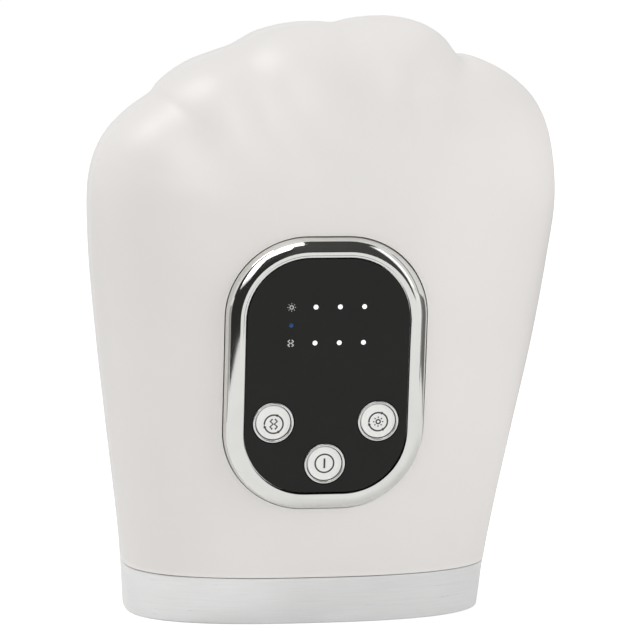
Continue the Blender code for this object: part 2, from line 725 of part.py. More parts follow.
def front_shell(frame, panel):
    shell = casing_half("front_shell", FRONT, frame)
    for spot in column_spots():
        combine(shell, wall_column("column", FRONT, spot, COLUMN_RADIUS, FIT / 2, frame), "UNION")
        pilot = bore("pilot", spot, SCREW_RADIUS + FIT, -SCREW_BITE - FIT, CUT_OVERRUN, frame)
        combine(shell, pilot, "DIFFERENCE")
    window = rounded_outline(BEZEL_WIDTH + 2 * FIT, BEZEL_HEIGHT + 2 * FIT, BEZEL_CORNER + FIT)
    cut = prism("panel_cut", window, -CUT_OVERRUN, BEZEL_DEPTH + CUT_OVERRUN, None, panel)
    return combine(shell, cut, "DIFFERENCE")


def rear_shell(frame):
    shell = casing_half("rear_shell", REAR, frame)
    for spot in column_spots():
        combine(shell, wall_column("column", REAR, spot, COLUMN_RADIUS, FIT / 2, frame), "UNION")
        combine(shell, bore("shank_hole", spot, SCREW_RADIUS + FIT, -CUT_OVERRUN, SCREW_SEAT_DEPTH, frame),
                "DIFFERENCE")
        combine(shell, bore("screw_well", spot, SCREW_HEAD_RADIUS + FIT, SCREW_SEAT_DEPTH - FIT / 4,
                            FOOT_PLANE + CUT_OVERRUN, frame), "DIFFERENCE")
    for spot in foot_spots():
        seat = wall_column("seat", REAR, spot, FOOT_RADIUS + FOOT_RIM, REAR_CREST_DEPTH + FOOT_RIM_RISE, frame)
        combine(shell, seat, "UNION")
        floor = REAR_CREST_DEPTH + FOOT_RIM_RISE - FOOT_SUNK
        recess = bore("recess", spot, FOOT_RADIUS + FIT, floor, FOOT_PLANE + CUT_OVERRUN, frame)
        combine(shell, recess, "DIFFERENCE")
    board_back = SOCKET_DEPTH + SOCKET_THICKNESS / 2 + 2 * FIT + CHARGE_BOARD_THICKNESS
    for way in (-1, 1):
        spot = (SOCKET_X + way * POST_SPREAD, SOCKET_TOP - SOCKET_LENGTH - POST_DROP)
        combine(shell, wall_column("post", REAR, spot, POST_RADIUS, board_back, frame), "UNION")
    hole = [Vector((x, y + SOCKET_DEPTH, z)) for x, y, z in socket_points(FIT, 0)]
    above = [point + Vector((0, 0, SOCKET_LENGTH / 2)) for point in hole]
    below = [point - Vector((0, 0, SOCKET_LENGTH)) for point in hole]
    combine(shell, make_object("socket_cut", loft([below, above]), None, frame), "DIFFERENCE")
    return shell


# Mouth ring, clamp ring and liner are rows of closed sections

def mouth_section(height, inset):
    return {"x": spine_x(height), "y": 0.0, "half": half_width(height) - inset,
            "front": front_crown(height) - inset, "rear": rear_crown(height) - inset,
            "front_round": front_roundness(height), "rear_round": rear_roundness(height)}


def pocket_section(height, inset):
    # The pocket keeps its size up to its full height and closes above it.
    past = max(0.0, height - POCKET_FULL_HEIGHT) / (POCKET_TOP - POCKET_FULL_HEIGHT)
    closing = math.sqrt(max(0.0, 1 - past ** 2))
    thinning = math.sqrt(closing)
    deep = POCKET_DEPTH / 2
    return {"x": spine_x(height), "y": POCKET_FRONT + deep, "half": (POCKET_HALF_WIDTH - inset) * closing,
            "front": (deep - inset) * thinning, "rear": (deep - inset) * thinning,
            "front_round": POCKET_ROUNDNESS, "rear_round": POCKET_ROUNDNESS}


def blend_sections(a, b, share):
    share = share * share * (3 - 2 * share)
    return {key: a[key] + (b[key] - a[key]) * share for key in a}


def section_points(section, height):
    points = []
    for step in range(SECTION_STEPS):
        turn = 2 * math.pi * step / SECTION_STEPS
        across, deep = math.cos(turn), math.sin(turn)
        side = "front" if deep < 0 else "rear"
        power = 2 / section[side + "_round"]
        x = section["x"] + section["half"] * math.copysign(abs(across) ** power, across)
        y = section["y"] + section[side] * math.copysign(abs(deep) ** power, deep)
        points.append(Vector((x, y, height)))
    return points


def swept_ring(name, profile, finish, parent):
    # Profile pairs are (inset from the casing's outer face, height).
    rows = [section_points(mouth_section(height, inset), height) for inset, height in profile]
    return smooth(make_object(name, loft(rows, joined_ends=True), finish, parent))


def mouth_ring(frame):
    spigot = CASING_WALL + FIT
    top = RING_HEIGHT + SPIGOT_RISE
    profile = [(RING_EDGE, 0), (0, RING_EDGE), (0, RING_HEIGHT), (spigot, RING_HEIGHT), (spigot, top),
               (spigot + SPIGOT_WALL, top), (RING_WALL, RING_HEIGHT - SPIGOT_WALL), (RING_WALL, RING_EDGE),
               (RING_WALL - RING_EDGE, 0)]
    return swept_ring("mouth_ring", profile, "silver_trim", frame)


def liner_clamp_ring(frame):
    outer = RING_WALL + 2 * FIT + LINER_WALL
    top = CLAMP_LOW + CLAMP_HEIGHT
    profile = [(outer, CLAMP_LOW), (outer, top), (outer + CLAMP_WALL, top), (outer + CLAMP_WALL, CLAMP_LOW)]
    return swept_ring("liner_clamp_ring", profile, "inner_black", frame)


def liner_section(height, inset):
    hem = mouth_section(height, RING_WALL + FIT + inset)
    pocket = pocket_section(height, inset)
    share = min(1.0, max(0.0, (height - FUNNEL_LOW) / (FUNNEL_TOP - FUNNEL_LOW)))
    return blend_sections(hem, pocket, share)


def hand_liner(frame):
    funnel = [FUNNEL_LOW + (FUNNEL_TOP - FUNNEL_LOW) * step / FUNNEL_STEPS for step in range(FUNNEL_STEPS + 1)]
    cap = POCKET_TOP - POCKET_FULL_HEIGHT
    closing = [POCKET_FULL_HEIGHT + cap * share for share in POCKET_CLOSING_SHARES]
    heights = [HEM_LOW] + funnel + [(FUNNEL_TOP + POCKET_FULL_HEIGHT) / 2] + closing
    outer = [section_points(liner_section(height, 0), height) for height in heights]
    inner = [section_points(liner_section(height, LINER_WALL), height - LINER_WALL * (height >= closing[0]))
             for height in heights]
    # From the inner tip down to the hem and up again to the outer tip
    sock = loft(list(reversed(inner)) + outer)
    return smooth(make_object("hand_liner", sock, "liner_cloth", frame), CLOTH_SMOOTH_ANGLE)


# Control panel, in the panel's own frame: Y runs from its front face inwards

def bezel_row(inset, depth):
    outline = rounded_outline(BEZEL_WIDTH - 2 * inset, BEZEL_HEIGHT - 2 * inset, BEZEL_CORNER - inset)
    return [Vector((x, depth, z)) for x, z in outline]


def panel_bezel(panel):
    # A rounded slope climbs from the casing to the lip round the lens.
    ledge_front = LENS_RECESS + LENS_THICKNESS + FIT
    ledge_back = ledge_front + LEDGE_THICKNESS
    inner = BEZEL_BAND + LEDGE_WIDTH
    profile = [(0, BEZEL_DEPTH)]
    for step in range(BEZEL_STEPS + 1):
        turn = math.pi / 2 * step / BEZEL_STEPS
        inset = (BEZEL_BAND - BEZEL_LIP) * (1 - math.cos(turn))
        profile.append((inset, BEZEL_SLOPE_DEPTH * (1 - math.sin(turn))))
    profile += [(BEZEL_BAND, 0), (BEZEL_BAND, ledge_front), (inner, ledge_front), (inner, ledge_back),
                (SKIRT_WALL, ledge_back), (SKIRT_WALL, BEZEL_DEPTH)]
    rows = [bezel_row(inset, depth) for inset, depth in profile]
    return smooth(make_object("panel_bezel", loft(rows, joined_ends=True), "chrome_trim", panel))


def panel_lens(panel):
    inset = BEZEL_BAND + FIT
    outline = rounded_outline(BEZEL_WIDTH - 2 * inset, BEZEL_HEIGHT - 2 * inset, BEZEL_CORNER - inset)
    lens = prism("panel_lens", outline, LENS_RECESS, LENS_BACK, "panel_black", panel)
    for spot in BUTTON_SPOTS.values():
        hole = bore("hole", spot, BUTTON_RING_RADIUS + FIT, -CUT_OVERRUN, CUT_OVERRUN, panel)
        combine(lens, hole, "DIFFERENCE")
    return smooth(lens)


def button_parts(place, spot, panel):
    front = LENS_RECESS - BUTTON_RING_PROUD
    ring_back = LENS_BACK + BUTTON_RING_DEPTH
    band = BUTTON_RING_BAND
    inner = BUTTON_RING_RADIUS - band
    origin = (spot[0], 0, spot[1])
    section = [(ring_back, BUTTON_RING_RADIUS), (front + band / 3, BUTTON_RING_RADIUS),
               (front, inner + band / 2), (front + band / 3, inner), (ring_back, inner)]
    tube_ring(f"button_ring_{place}", section, (0, 1, 0), origin, "chrome_trim", panel)
    cap_front = front + CAP_SUNK
    cap_radius = inner - FIT
    stem_end = SWITCH_FRONT - PLUNGER_PROUD - FIT
    cap_back = cap_front + CAP_THICKNESS
    turned(f"button_cap_{place}",
           [(0, cap_radius - band / 3), (band / 3, cap_radius), (cap_back - cap_front, cap_radius),
            (cap_back - cap_front, CAP_STEM_RADIUS), (stem_end - cap_front, CAP_STEM_RADIUS)],
           (0, 1, 0), (spot[0], cap_front, spot[1]), "button_white", panel)
    turned(f"switch_plunger_{place}", [(0, PLUNGER_RADIUS), (PLUNGER_PROUD + PLUNGER_SUNK, PLUNGER_RADIUS)],
           (0, 1, 0), (spot[0], SWITCH_FRONT - PLUNGER_PROUD, spot[1]), "inner_white", panel, 12)
    half = SWITCH_SIZE / 2
    body = block(f"tact_switch_{place}", (spot[0] - half, SWITCH_FRONT, spot[1] - half),
                 (spot[0] + half, BOARD_FRONT - FIT, spot[1] + half), "inner_black", panel)
    well = bore("well", spot, PLUNGER_RADIUS + FIT, SWITCH_FRONT - CUT_OVERRUN,
                SWITCH_FRONT + PLUNGER_SUNK + BUTTON_TRAVEL + FIT, panel)
    combine(body, well, "DIFFERENCE")


def control_board(panel):
    inset = SKIRT_WALL + FIT
    outline = rounded_outline(BEZEL_WIDTH - 2 * inset, BEZEL_HEIGHT - 2 * inset, BEZEL_CORNER - inset)
    return prism("control_board", outline, BOARD_FRONT, BOARD_FRONT + BOARD_THICKNESS, "board_green", panel)


def lamp_spots():
    row = [SIGN_X + LAMP_PITCH * step for step in range(1, 4)]
    middle = (UPPER_ROW_RISE + LOWER_ROW_RISE) / 2
    spots = [(x, rise) for rise in (UPPER_ROW_RISE, LOWER_ROW_RISE) for x in row]
    return spots + [(SIGN_X, middle)]


def light_baffle(panel):
    spots = lamp_spots()
    reach = LAMP_RADIUS + BAFFLE_MARGIN
    xs = [x for x, z in spots]
    zs = [z for x, z in spots]
    baffle = block("light_baffle", (min(xs) - reach, LENS_BACK + FIT, min(zs) - reach),
                   (max(xs) + reach, BOARD_FRONT - FIT, max(zs) + reach), "inner_black", panel)
    for spot in spots:
        hole = turned("hole", [(0, LAMP_RADIUS), (BEZEL_DEPTH, LAMP_RADIUS)], (0, 1, 0), (spot[0], 0, spot[1]),
                      None, panel, 10)
        combine(baffle, hole, "DIFFERENCE")
    return baffle


def buzzer(panel):
    back = BOARD_FRONT + BOARD_THICKNESS + FIT
    return turned("buzzer", [(0, BUZZER_RADIUS), (BUZZER_HEIGHT, BUZZER_RADIUS)], (0, 1, 0),
                  (0, back, BEZEL_HEIGHT / 2 - BUZZER_DROP), "inner_black", panel)


def control_panel(panel):
    panel_bezel(panel)
    panel_lens(panel)
    for place, spot in BUTTON_SPOTS.items():
        button_parts(place, spot, panel)
    control_board(panel)
    light_baffle(panel)
    buzzer(panel)


# Plates that follow the inside of the casing

def plate_outline(side, depth):
    # Walks each spoke out to where the casing's skin is just a wall and a margin away.
    reach = CASING_WALL + PLATE_MARGIN
    outline = []
    for outer, foot in spoke_stations(PLATE_LOW):
        share = 0.0
        stride = 1 / PLATE_STRIDES
        for halving in range(PLATE_HALVINGS):
            while share + stride <= 1 and side.room(foot + (share + stride) * (outer - foot), depth) > reach:
                share += stride
            stride /= 2
        place = foot + share * (outer - foot)
        outline.append((place.x, place.y))
    return outline


def drilled_plate(name, side, near, far, frame):
    outline = plate_outline(side, max(abs(near), abs(far)))
    plate = prism(name, outline, near, far, "inner_white", frame)
    for spot in column_spots():
        hole = bore("hole", spot, COLUMN_RADIUS + FIT, near - CUT_OVERRUN, far + CUT_OVERRUN, frame)
        combine(plate, hole, "DIFFERENCE")
    return plate


def works_plate(frame):
    plate = drilled_plate("works_plate", FRONT, -WORKS_FRONT, -WORKS_BACK, frame)
    low, high = window_box(FIT)
    combine(plate, block("cut", (low[0], -WORKS_FRONT - CUT_OVERRUN, low[1]),
                         (high[0], -WORKS_BACK + CUT_OVERRUN, high[1]), None, frame), "DIFFERENCE")
    for spot in ((upper_port_x(), UPPER_PORT_HEIGHT), (side_hose_x(), SIDE_HOSE_HEIGHT)):
        start, end = -WORKS_FRONT - CUT_OVERRUN, -WORKS_BACK + CUT_OVERRUN
        combine(plate, bore("hole", spot, HOSE_RADIUS + FIT, start, end, frame), "DIFFERENCE")
    return plate


def base_plate(frame):
    return drilled_plate("base_plate", REAR, BASE_FRONT, BASE_BACK, frame)


def window_box(margin):
    middle = spine_x(WINDOW_LOW)
    return ((middle - WINDOW_WIDTH / 2 - margin, WINDOW_LOW - margin),
            (middle + WINDOW_WIDTH / 2 + margin, WINDOW_HIGH + margin))


def light_window(frame):
    low, high = window_box(0)
    return block("light_window", (low[0], -WORKS_FRONT, low[1]), (high[0], -WORKS_BACK, high[1]),
                 "window_clear", frame)


def light_board(frame):
    low, high = window_box(LIGHT_BOARD_MARGIN)
    front = -WORKS_FRONT - FIT
    return block("light_board", (low[0], front - LIGHT_BOARD_THICKNESS, low[1]), (high[0], front, high[1]),
                 "board_green", frame)


# Soft pieces round the hand

def bag_middle():
    return spine_x((BAG_LOW + BAG_HIGH) / 2)


def soft_slab(name, near, far, inset, finish, frame):
    width = 2 * (BAG_HALF_WIDTH - inset)
    height = BAG_HIGH - BAG_LOW - 2 * inset
    centre = (bag_middle(), (BAG_LOW + BAG_HIGH) / 2)
    edge = min(BAG_EDGE, (far - near) / 3)
    rows = []
    for depth, draw in ((near, edge), (near + edge, 0), (far - edge, 0), (far, edge)):
        outline = rounded_outline(width - 2 * draw, height - 2 * draw, BAG_CORNER - draw, 4, centre)
        rows.append([Vector((x, depth, z)) for x, z in outline])
    return smooth(make_object(name, loft(rows), finish, frame))


def nodule_plate(frame):
    middle = (BAG_LOW + BAG_HIGH) / 2
    half = (BAG_HALF_WIDTH, (BAG_HIGH - BAG_LOW) / 2)
    outline = rounded_outline(2 * half[0], 2 * half[1], BAG_CORNER, 4, (bag_middle(), middle))
    back = NODULE_BASE + NODULE_PLATE_THICKNESS
    plate = prism("nodule_plate", outline, NODULE_BASE, back, "inner_white", frame)
    profile = [(NODULE_RISE * rise, NODULE_RADIUS * reach) for rise, reach in NODULE_PROFILE_SHARES]
    profile.append((NODULE_RISE + NODULE_PLATE_THICKNESS / 2, NODULE_RADIUS))
    columns, rows = [int(2 * (reach - NODULE_MARGIN) / NODULE_PITCH) + 1 for reach in half]
    for column in range(columns):
        for row in range(rows):
            x = bag_middle() + (column - (columns - 1) / 2) * NODULE_PITCH
            z = middle + (row - (rows - 1) / 2) * NODULE_PITCH
            dome = turned("dome", profile, (0, 1, 0), (x, NODULE_FRONT, z), None, frame, NODULE_SIDES)
            combine(plate, dome, "UNION")
    return smooth(plate)


# Cells and their cradle

def cells(frame):
    for number, height in enumerate(CELL_HEIGHTS, 1):
        turned(f"battery_cell_{number}",
               [(0, CELL_RADIUS), (CELL_LENGTH, CELL_RADIUS), (CELL_LENGTH, CELL_BUTTON_RADIUS),
                (CELL_LENGTH + CELL_BUTTON_HEIGHT, CELL_BUTTON_RADIUS)],
               (1, 0, 0), (PANEL_X - CELL_LENGTH / 2, -CELL_DEPTH, height), "cell_wrap", frame)


def battery_cradle(frame):
    reach = CELL_RADIUS + FIT + CRADLE_WALL
    floor = -WORKS_FRONT - FIT
    cradle = block("battery_cradle", (CRADLE_START, floor - CRADLE_FLOOR - CRADLE_SIDE, CRADLE_LOW),
                   (CRADLE_END, floor, CELL_HEIGHTS[1] + reach), "inner_black", frame)
    room = CRADLE_END - CRADLE_START - 2 * CRADLE_WALL
    for height in CELL_HEIGHTS:
        trough = turned("trough", [(0, CELL_RADIUS + FIT), (room, CELL_RADIUS + FIT)], (1, 0, 0),
                        (CRADLE_START + CRADLE_WALL, -CELL_DEPTH, height), None, frame)
        combine(cradle, trough, "DIFFERENCE")
    return cradle


# Pump: the motor can, its shaft with the eccentric, the head and a saddle

def pump(frame):
    middle = (-PUMP_DEPTH, PUMP_HEIGHT)
    motor = turned("pump_motor", [(0, PUMP_RADIUS), (MOTOR_LENGTH, PUMP_RADIUS)], (1, 0, 0),
                   (PUMP_X, *middle), "steel", frame)
    combine(motor, turned("bore", [(0, SHAFT_RADIUS + FIT), (CUT_OVERRUN * 4, SHAFT_RADIUS + FIT)], (1, 0, 0),
                          (HEAD_X - SHAFT_IN_MOTOR - FIT, *middle), None, frame), "DIFFERENCE")
    pump_head(middle, frame)
    pump_crank(middle, frame)
    pump_saddle(middle, frame)


def pump_head(middle, frame):
    depth, height = middle
    outline = rounded_outline(2 * HEAD_HALF_SIZE, 2 * HEAD_HALF_SIZE, HEAD_HALF_SIZE / 3, 3, (depth, height))
    rows = [[Vector((x, y, z)) for y, z in outline] for x in (HEAD_X, HEAD_X + HEAD_LENGTH)]
    head = make_object("pump_head", loft(rows), "inner_black", frame)
    end = HEAD_X + HEAD_LENGTH
    nozzle = turned("nozzle", [(0, NOZZLE_RADIUS), (NOZZLE_LENGTH * 1.5, NOZZLE_RADIUS)], (1, 0, 0),
                    (end - NOZZLE_LENGTH / 2, *middle), None, frame, 10)
    combine(head, nozzle, "UNION")
    crankcase = turned("crankcase", [(0, CRANKCASE_RADIUS), (CRANKCASE_DEPTH + CUT_OVERRUN, CRANKCASE_RADIUS)],
                       (1, 0, 0), (HEAD_X - CUT_OVERRUN, *middle), None, frame)
    combine(head, crankcase, "DIFFERENCE")
    return smooth(head)


def pump_crank(middle, frame):
    shaft = turned("pump_crank", [(-SHAFT_IN_MOTOR, SHAFT_RADIUS), (SHAFT_IN_HEAD, SHAFT_RADIUS)], (1, 0, 0),
                   (HEAD_X, *middle), "steel", frame, 12)
    start = HEAD_X + SHAFT_IN_HEAD - ECCENTRIC_LENGTH - FIT
    cam = turned("cam", [(0, ECCENTRIC_RADIUS), (ECCENTRIC_LENGTH, ECCENTRIC_RADIUS)], (1, 0, 0),
                 (start, middle[0], middle[1] + ECCENTRIC_THROW), None, frame)
    combine(shaft, cam, "UNION")
    return smooth(shaft)


def pump_saddle(middle, frame):
    depth, height = middle
    start = PUMP_X + (MOTOR_LENGTH - SADDLE_LENGTH) / 2
    floor = -WORKS_FRONT - FIT
    saddle = block("pump_saddle", (start, floor - SADDLE_FLOOR - SADDLE_RISE, height - SADDLE_HALF_HEIGHT),
                   (start + SADDLE_LENGTH, floor, height + SADDLE_HALF_HEIGHT), "rubber_grey", frame)
    trough = turned("trough", [(0, PUMP_RADIUS + FIT), (2 * SADDLE_LENGTH, PUMP_RADIUS + FIT)], (1, 0, 0),
                    (start - SADDLE_LENGTH / 2, depth, height), None, frame, 2 * ROUND_STEPS)
    return smooth(combine(saddle, trough, "DIFFERENCE"))


# Release valve

def release_valve(frame):
    top = VALVE_LOW + VALVE_HEIGHT
    body = block("valve_body", (VALVE_X - VALVE_HALF_WIDTH, -VALVE_MIDDLE - VALVE_DEPTH / 2, VALVE_LOW),
                 (VALVE_X + VALVE_HALF_WIDTH, -VALVE_MIDDLE + VALVE_DEPTH / 2, top), "inner_black", frame)
    spots = [((VALVE_X, -VALVE_MIDDLE, top), (0, 0, 1)), ((VALVE_X, -VALVE_MIDDLE, VALVE_LOW), (0, 0, -1)),
             ((VALVE_X + VALVE_HALF_WIDTH, -VALVE_MIDDLE, SIDE_HOSE_HEIGHT), (1, 0, 0))]
    for place, way in spots:
        nozzle = turned("nozzle", [(-NOZZLE_LENGTH / 2, NOZZLE_RADIUS), (NOZZLE_LENGTH, NOZZLE_RADIUS)], way,
                        place, None, frame, 10)
        combine(body, nozzle, "UNION")
    face = -VALVE_MIDDLE - VALVE_DEPTH / 2
    well = turned("well", [(-CUT_OVERRUN, VALVE_BORE_RADIUS), (VALVE_BORE_DEPTH, VALVE_BORE_RADIUS)], (0, 1, 0),
                  (VALVE_X, face, VALVE_PLUNGER_HEIGHT), None, frame)
    combine(body, well, "DIFFERENCE")
    turned("valve_plunger", [(0, VALVE_BORE_RADIUS - FIT), (VALVE_PLUNGER_LENGTH, VALVE_BORE_RADIUS - FIT)],
           (0, 1, 0), (VALVE_X, face + VALVE_BORE_DEPTH - FIT - VALVE_STROKE - VALVE_PLUNGER_LENGTH,
                       VALVE_PLUNGER_HEIGHT), "steel", frame)
    return body


# Hoses, each along one smooth curve

def upper_port_x():
    # Near the bag's edge, and clear of the cradle however long the cells are
    return max(bag_middle() + BAG_HALF_WIDTH - UPPER_PORT_INSET, CRADLE_END + CELL_GAP + HOSE_RADIUS)


def side_hose_start():
    return VALVE_X + VALVE_HALF_WIDTH + NOZZLE_LENGTH + FIT


def side_hose_x():
    beside_pocket = spine_x(SIDE_HOSE_HEIGHT) + POCKET_HALF_WIDTH + HOSE_ROOM + HOSE_RADIUS
    return max(beside_pocket, side_hose_start() + 1.5 * HOSE_RADIUS)


def hose(name, knots, frame):
    # One smooth curve whose first and last spans set its end directions
    path = curve_through([Vector(knot) for knot in knots], HOSE_STEPS // (len(knots) - 1))
    rows = []
    side = Vector((0, 0, 1)).cross(path[1] - path[0])
    if side.length < MERGE_GAP:
        side = Vector((0, 1, 0)).cross(path[1] - path[0])
    for number, place in enumerate(path):
        ahead = path[min(number + 1, len(path) - 1)] - path[max(number - 1, 0)]
        ahead.normalize()
        if number == 0:
            ahead = (Vector(knots[1]) - Vector(knots[0])).normalized()
        if number == len(path) - 1:
            ahead = (Vector(knots[-1]) - Vector(knots[-2])).normalized()
        side = (side - side.dot(ahead) * ahead).normalized()
        other = ahead.cross(side)
        rows.append([place + x * side + y * other for x, y in circle_points(HOSE_RADIUS, HOSE_SIDES)])
    return smooth(make_object(name, loft(rows), "hose_clear", frame))


def hoses(frame):
    pump_end = HEAD_X + HEAD_LENGTH + NOZZLE_LENGTH + FIT
    valve_top = VALVE_LOW + VALVE_HEIGHT + NOZZLE_LENGTH + FIT
    bend = 3 * HOSE_RADIUS
    turn_x = max(pump_end + bend, VALVE_X)
    hose("pump_hose", [(pump_end, -PUMP_DEPTH, PUMP_HEIGHT), (pump_end + bend / 3, -PUMP_DEPTH, PUMP_HEIGHT),
                       (turn_x, -(PUMP_DEPTH + VALVE_MIDDLE) / 2, PUMP_HEIGHT - bend),
                       (VALVE_X, -VALVE_MIDDLE, valve_top + bend / 3),
                       (VALVE_X, -VALVE_MIDDLE, valve_top)], frame)
    low = VALVE_LOW - NOZZLE_LENGTH - FIT
    bag = UPPER_BAG_FRONT - FIT
    port = upper_port_x()
    hose("upper_bag_hose", [(VALVE_X, -VALVE_MIDDLE, low), (VALVE_X, -VALVE_MIDDLE, low - bend / 3),
                            ((VALVE_X + port) / 2, (bag - VALVE_MIDDLE) / 2 - bend / 2,
                             (low + UPPER_PORT_HEIGHT) / 2 - bend / 4),
                            (port, bag - bend, UPPER_PORT_HEIGHT), (port, bag, UPPER_PORT_HEIGHT)], frame)
    start = side_hose_start()
    side = side_hose_x()
    end_depth = LOWER_BAG_FRONT + LOWER_BAG_THICKNESS / 2
    bag_side = bag_middle() + BAG_HALF_WIDTH + FIT
    hose("lower_bag_hose", [(start, -VALVE_MIDDLE, SIDE_HOSE_HEIGHT),
                            (start + bend / 5, -VALVE_MIDDLE, SIDE_HOSE_HEIGHT),
                            (side, bend - VALVE_MIDDLE, SIDE_HOSE_HEIGHT),
                            (side, (end_depth - WORKS_FRONT) / 2, SIDE_HOSE_HEIGHT),
                            (side, end_depth - bend, SIDE_HOSE_HEIGHT),
                            (bag_side + bend / 5, end_depth, SIDE_HOSE_HEIGHT),
                            (bag_side, end_depth, SIDE_HOSE_HEIGHT)], frame)


# Feet, screws and charging socket

def feet(frame):
    floor = REAR_CREST_DEPTH + FOOT_RIM_RISE - FOOT_SUNK + FIT
    for number, (x, z) in enumerate(foot_spots(), 1):
        turned(f"rubber_foot_{number}",
               [(0, FOOT_RADIUS), (FOOT_PLANE - floor - FOOT_EDGE, FOOT_RADIUS),
                (FOOT_PLANE - floor, FOOT_RADIUS - FOOT_EDGE)],
               (0, 1, 0), (x, floor, z), "rubber_grey", frame)


def case_screws(frame):
    seat = SCREW_SEAT_DEPTH + FIT
    for number, (x, z) in enumerate(column_spots(), 1):
        turned(f"case_screw_{number}",
               [(-SCREW_BITE, SCREW_RADIUS), (seat, SCREW_RADIUS), (seat, SCREW_HEAD_RADIUS),
                (seat + SCREW_HEAD_HEIGHT, SCREW_HEAD_RADIUS), (seat + SCREW_HEAD_HEIGHT, SCREW_DRIVE_RADIUS),
                (seat + SCREW_HEAD_HEIGHT - SCREW_DRIVE_DEPTH, SCREW_DRIVE_RADIUS)],
               (0, 1, 0), (x, 0, z), "steel", frame, 12)


def socket_points(grow, height, width=SOCKET_WIDTH, thickness=SOCKET_THICKNESS):
    outline = rounded_outline(width + 2 * grow, thickness + 2 * grow, thickness / 2 + grow - FIT / 10, 4)
    return [Vector((SOCKET_X + x, y, SOCKET_TOP + height)) for x, y in outline]


def charge_socket(frame):
    def row(grow, height):
        return [point + Vector((0, SOCKET_DEPTH, 0)) for point in socket_points(grow, height)]

    skin = -SOCKET_SKIN
    socket = make_object("charge_socket", loft([row(0, -SOCKET_LENGTH), row(0, 0), row(skin, 0),
                                                row(skin, -SOCKET_BORE)]), "steel", frame)
    root = SOCKET_TOP - SOCKET_BORE
    side = TONGUE_WIDTH / 2
    half = TONGUE_THICKNESS / 2
    tongue = block("tongue", (SOCKET_X - side, SOCKET_DEPTH - half, root - SOCKET_SKIN),
                   (SOCKET_X + side, SOCKET_DEPTH + half, root + TONGUE_LENGTH), None, frame)
    return combine(socket, tongue, "UNION")


def charge_board(frame):
    front = SOCKET_DEPTH + SOCKET_THICKNESS / 2 + FIT
    top = SOCKET_TOP - SOCKET_LENGTH + CHARGE_BOARD_LAP
    return block("charge_board", (SOCKET_X - CHARGE_BOARD_WIDTH / 2, front, top - CHARGE_BOARD_LENGTH),
                 (SOCKET_X + CHARGE_BOARD_WIDTH / 2, front + CHARGE_BOARD_THICKNESS, top), "board_green", frame)


def build():
    clear_scene()
    frame = bpy.data.objects.new("casing_frame", None)
    bpy.context.scene.collection.objects.link(frame)
    frame.location = (0, PARTING_Y, 0)
    panel = bpy.data.objects.new("panel_frame", None)
    bpy.context.scene.collection.objects.link(panel)
    panel.parent = frame
    panel.location = (PANEL_X, -PANEL_DEPTH, PANEL_HEIGHT)
    panel.rotation_euler = (PANEL_TILT, 0, 0)
    bpy.context.view_layer.update()

    front_shell(frame, panel)
    rear_shell(frame)
    mouth_ring(frame)
    liner_clamp_ring(frame)
    hand_liner(frame)
    control_panel(panel)
    works_plate(frame)
    base_plate(frame)
    light_window(frame)
    light_board(frame)
    soft_slab("upper_airbag", UPPER_BAG_FRONT, UPPER_BAG_FRONT + UPPER_BAG_THICKNESS, 0, "bag_film", frame)
    soft_slab("heating_pad", PAD_FRONT, PAD_FRONT + PAD_THICKNESS, BAG_EDGE, "heat_pad", frame)
    nodule_plate(frame)
    soft_slab("lower_airbag", LOWER_BAG_FRONT, LOWER_BAG_FRONT + LOWER_BAG_THICKNESS, 0, "bag_film", frame)
    cells(frame)
    battery_cradle(frame)
    pump(frame)
    release_valve(frame)
    hoses(frame)
    feet(frame)
    case_screws(frame)
    charge_socket(frame)
    charge_board(frame)


build()
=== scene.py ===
import bisect
import json
from math import atan2, copysign, cos, exp, pi, radians, sin, sqrt
import bmesh
import bpy
from mathutils import Matrix, Vector


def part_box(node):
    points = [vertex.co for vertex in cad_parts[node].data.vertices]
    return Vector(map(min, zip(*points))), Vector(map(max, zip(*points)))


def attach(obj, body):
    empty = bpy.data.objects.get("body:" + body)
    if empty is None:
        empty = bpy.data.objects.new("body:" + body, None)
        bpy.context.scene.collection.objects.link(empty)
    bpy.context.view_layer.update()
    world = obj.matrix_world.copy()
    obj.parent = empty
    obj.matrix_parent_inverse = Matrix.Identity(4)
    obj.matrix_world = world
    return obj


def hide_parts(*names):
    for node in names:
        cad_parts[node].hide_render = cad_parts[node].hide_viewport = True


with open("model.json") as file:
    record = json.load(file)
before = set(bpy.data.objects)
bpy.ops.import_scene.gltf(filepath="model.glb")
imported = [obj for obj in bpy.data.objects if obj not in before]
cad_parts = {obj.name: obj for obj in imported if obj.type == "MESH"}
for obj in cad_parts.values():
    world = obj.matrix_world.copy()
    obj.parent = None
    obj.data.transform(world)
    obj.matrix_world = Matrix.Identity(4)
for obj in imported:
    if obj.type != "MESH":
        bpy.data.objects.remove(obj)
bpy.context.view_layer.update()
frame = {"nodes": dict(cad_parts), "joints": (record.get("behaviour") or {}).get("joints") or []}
mm = 0.001


def millimetres(others=(), **lengths):  # a piece's sizes: its lengths in mm, and what else it needs
    return {name: length * mm for name, length in lengths.items()} | dict(others)


# working helpers

def workOn(piece):  # only this piece is selected and active
    bpy.ops.object.select_all(action="DESELECT")
    piece.select_set(True)
    bpy.context.view_layer.objects.active = piece
    return piece


def nameIt(name):
    piece = bpy.context.object
    piece.name = piece.data.name = name
    return piece


def useModifier(piece, kind, **settings):
    workOn(piece)
    modifier = piece.modifiers.new(kind.lower(), kind)
    for key, value in settings.items():
        setattr(modifier, key, value)
    bpy.ops.object.modifier_apply(modifier=modifier.name)
    return piece


def carve(piece, tool, operation="DIFFERENCE"):  # the tool is used up
    useModifier(piece, "BOOLEAN", operation=operation, solver="EXACT", object=tool)
    bpy.data.objects.remove(tool, do_unlink=True)
    return piece


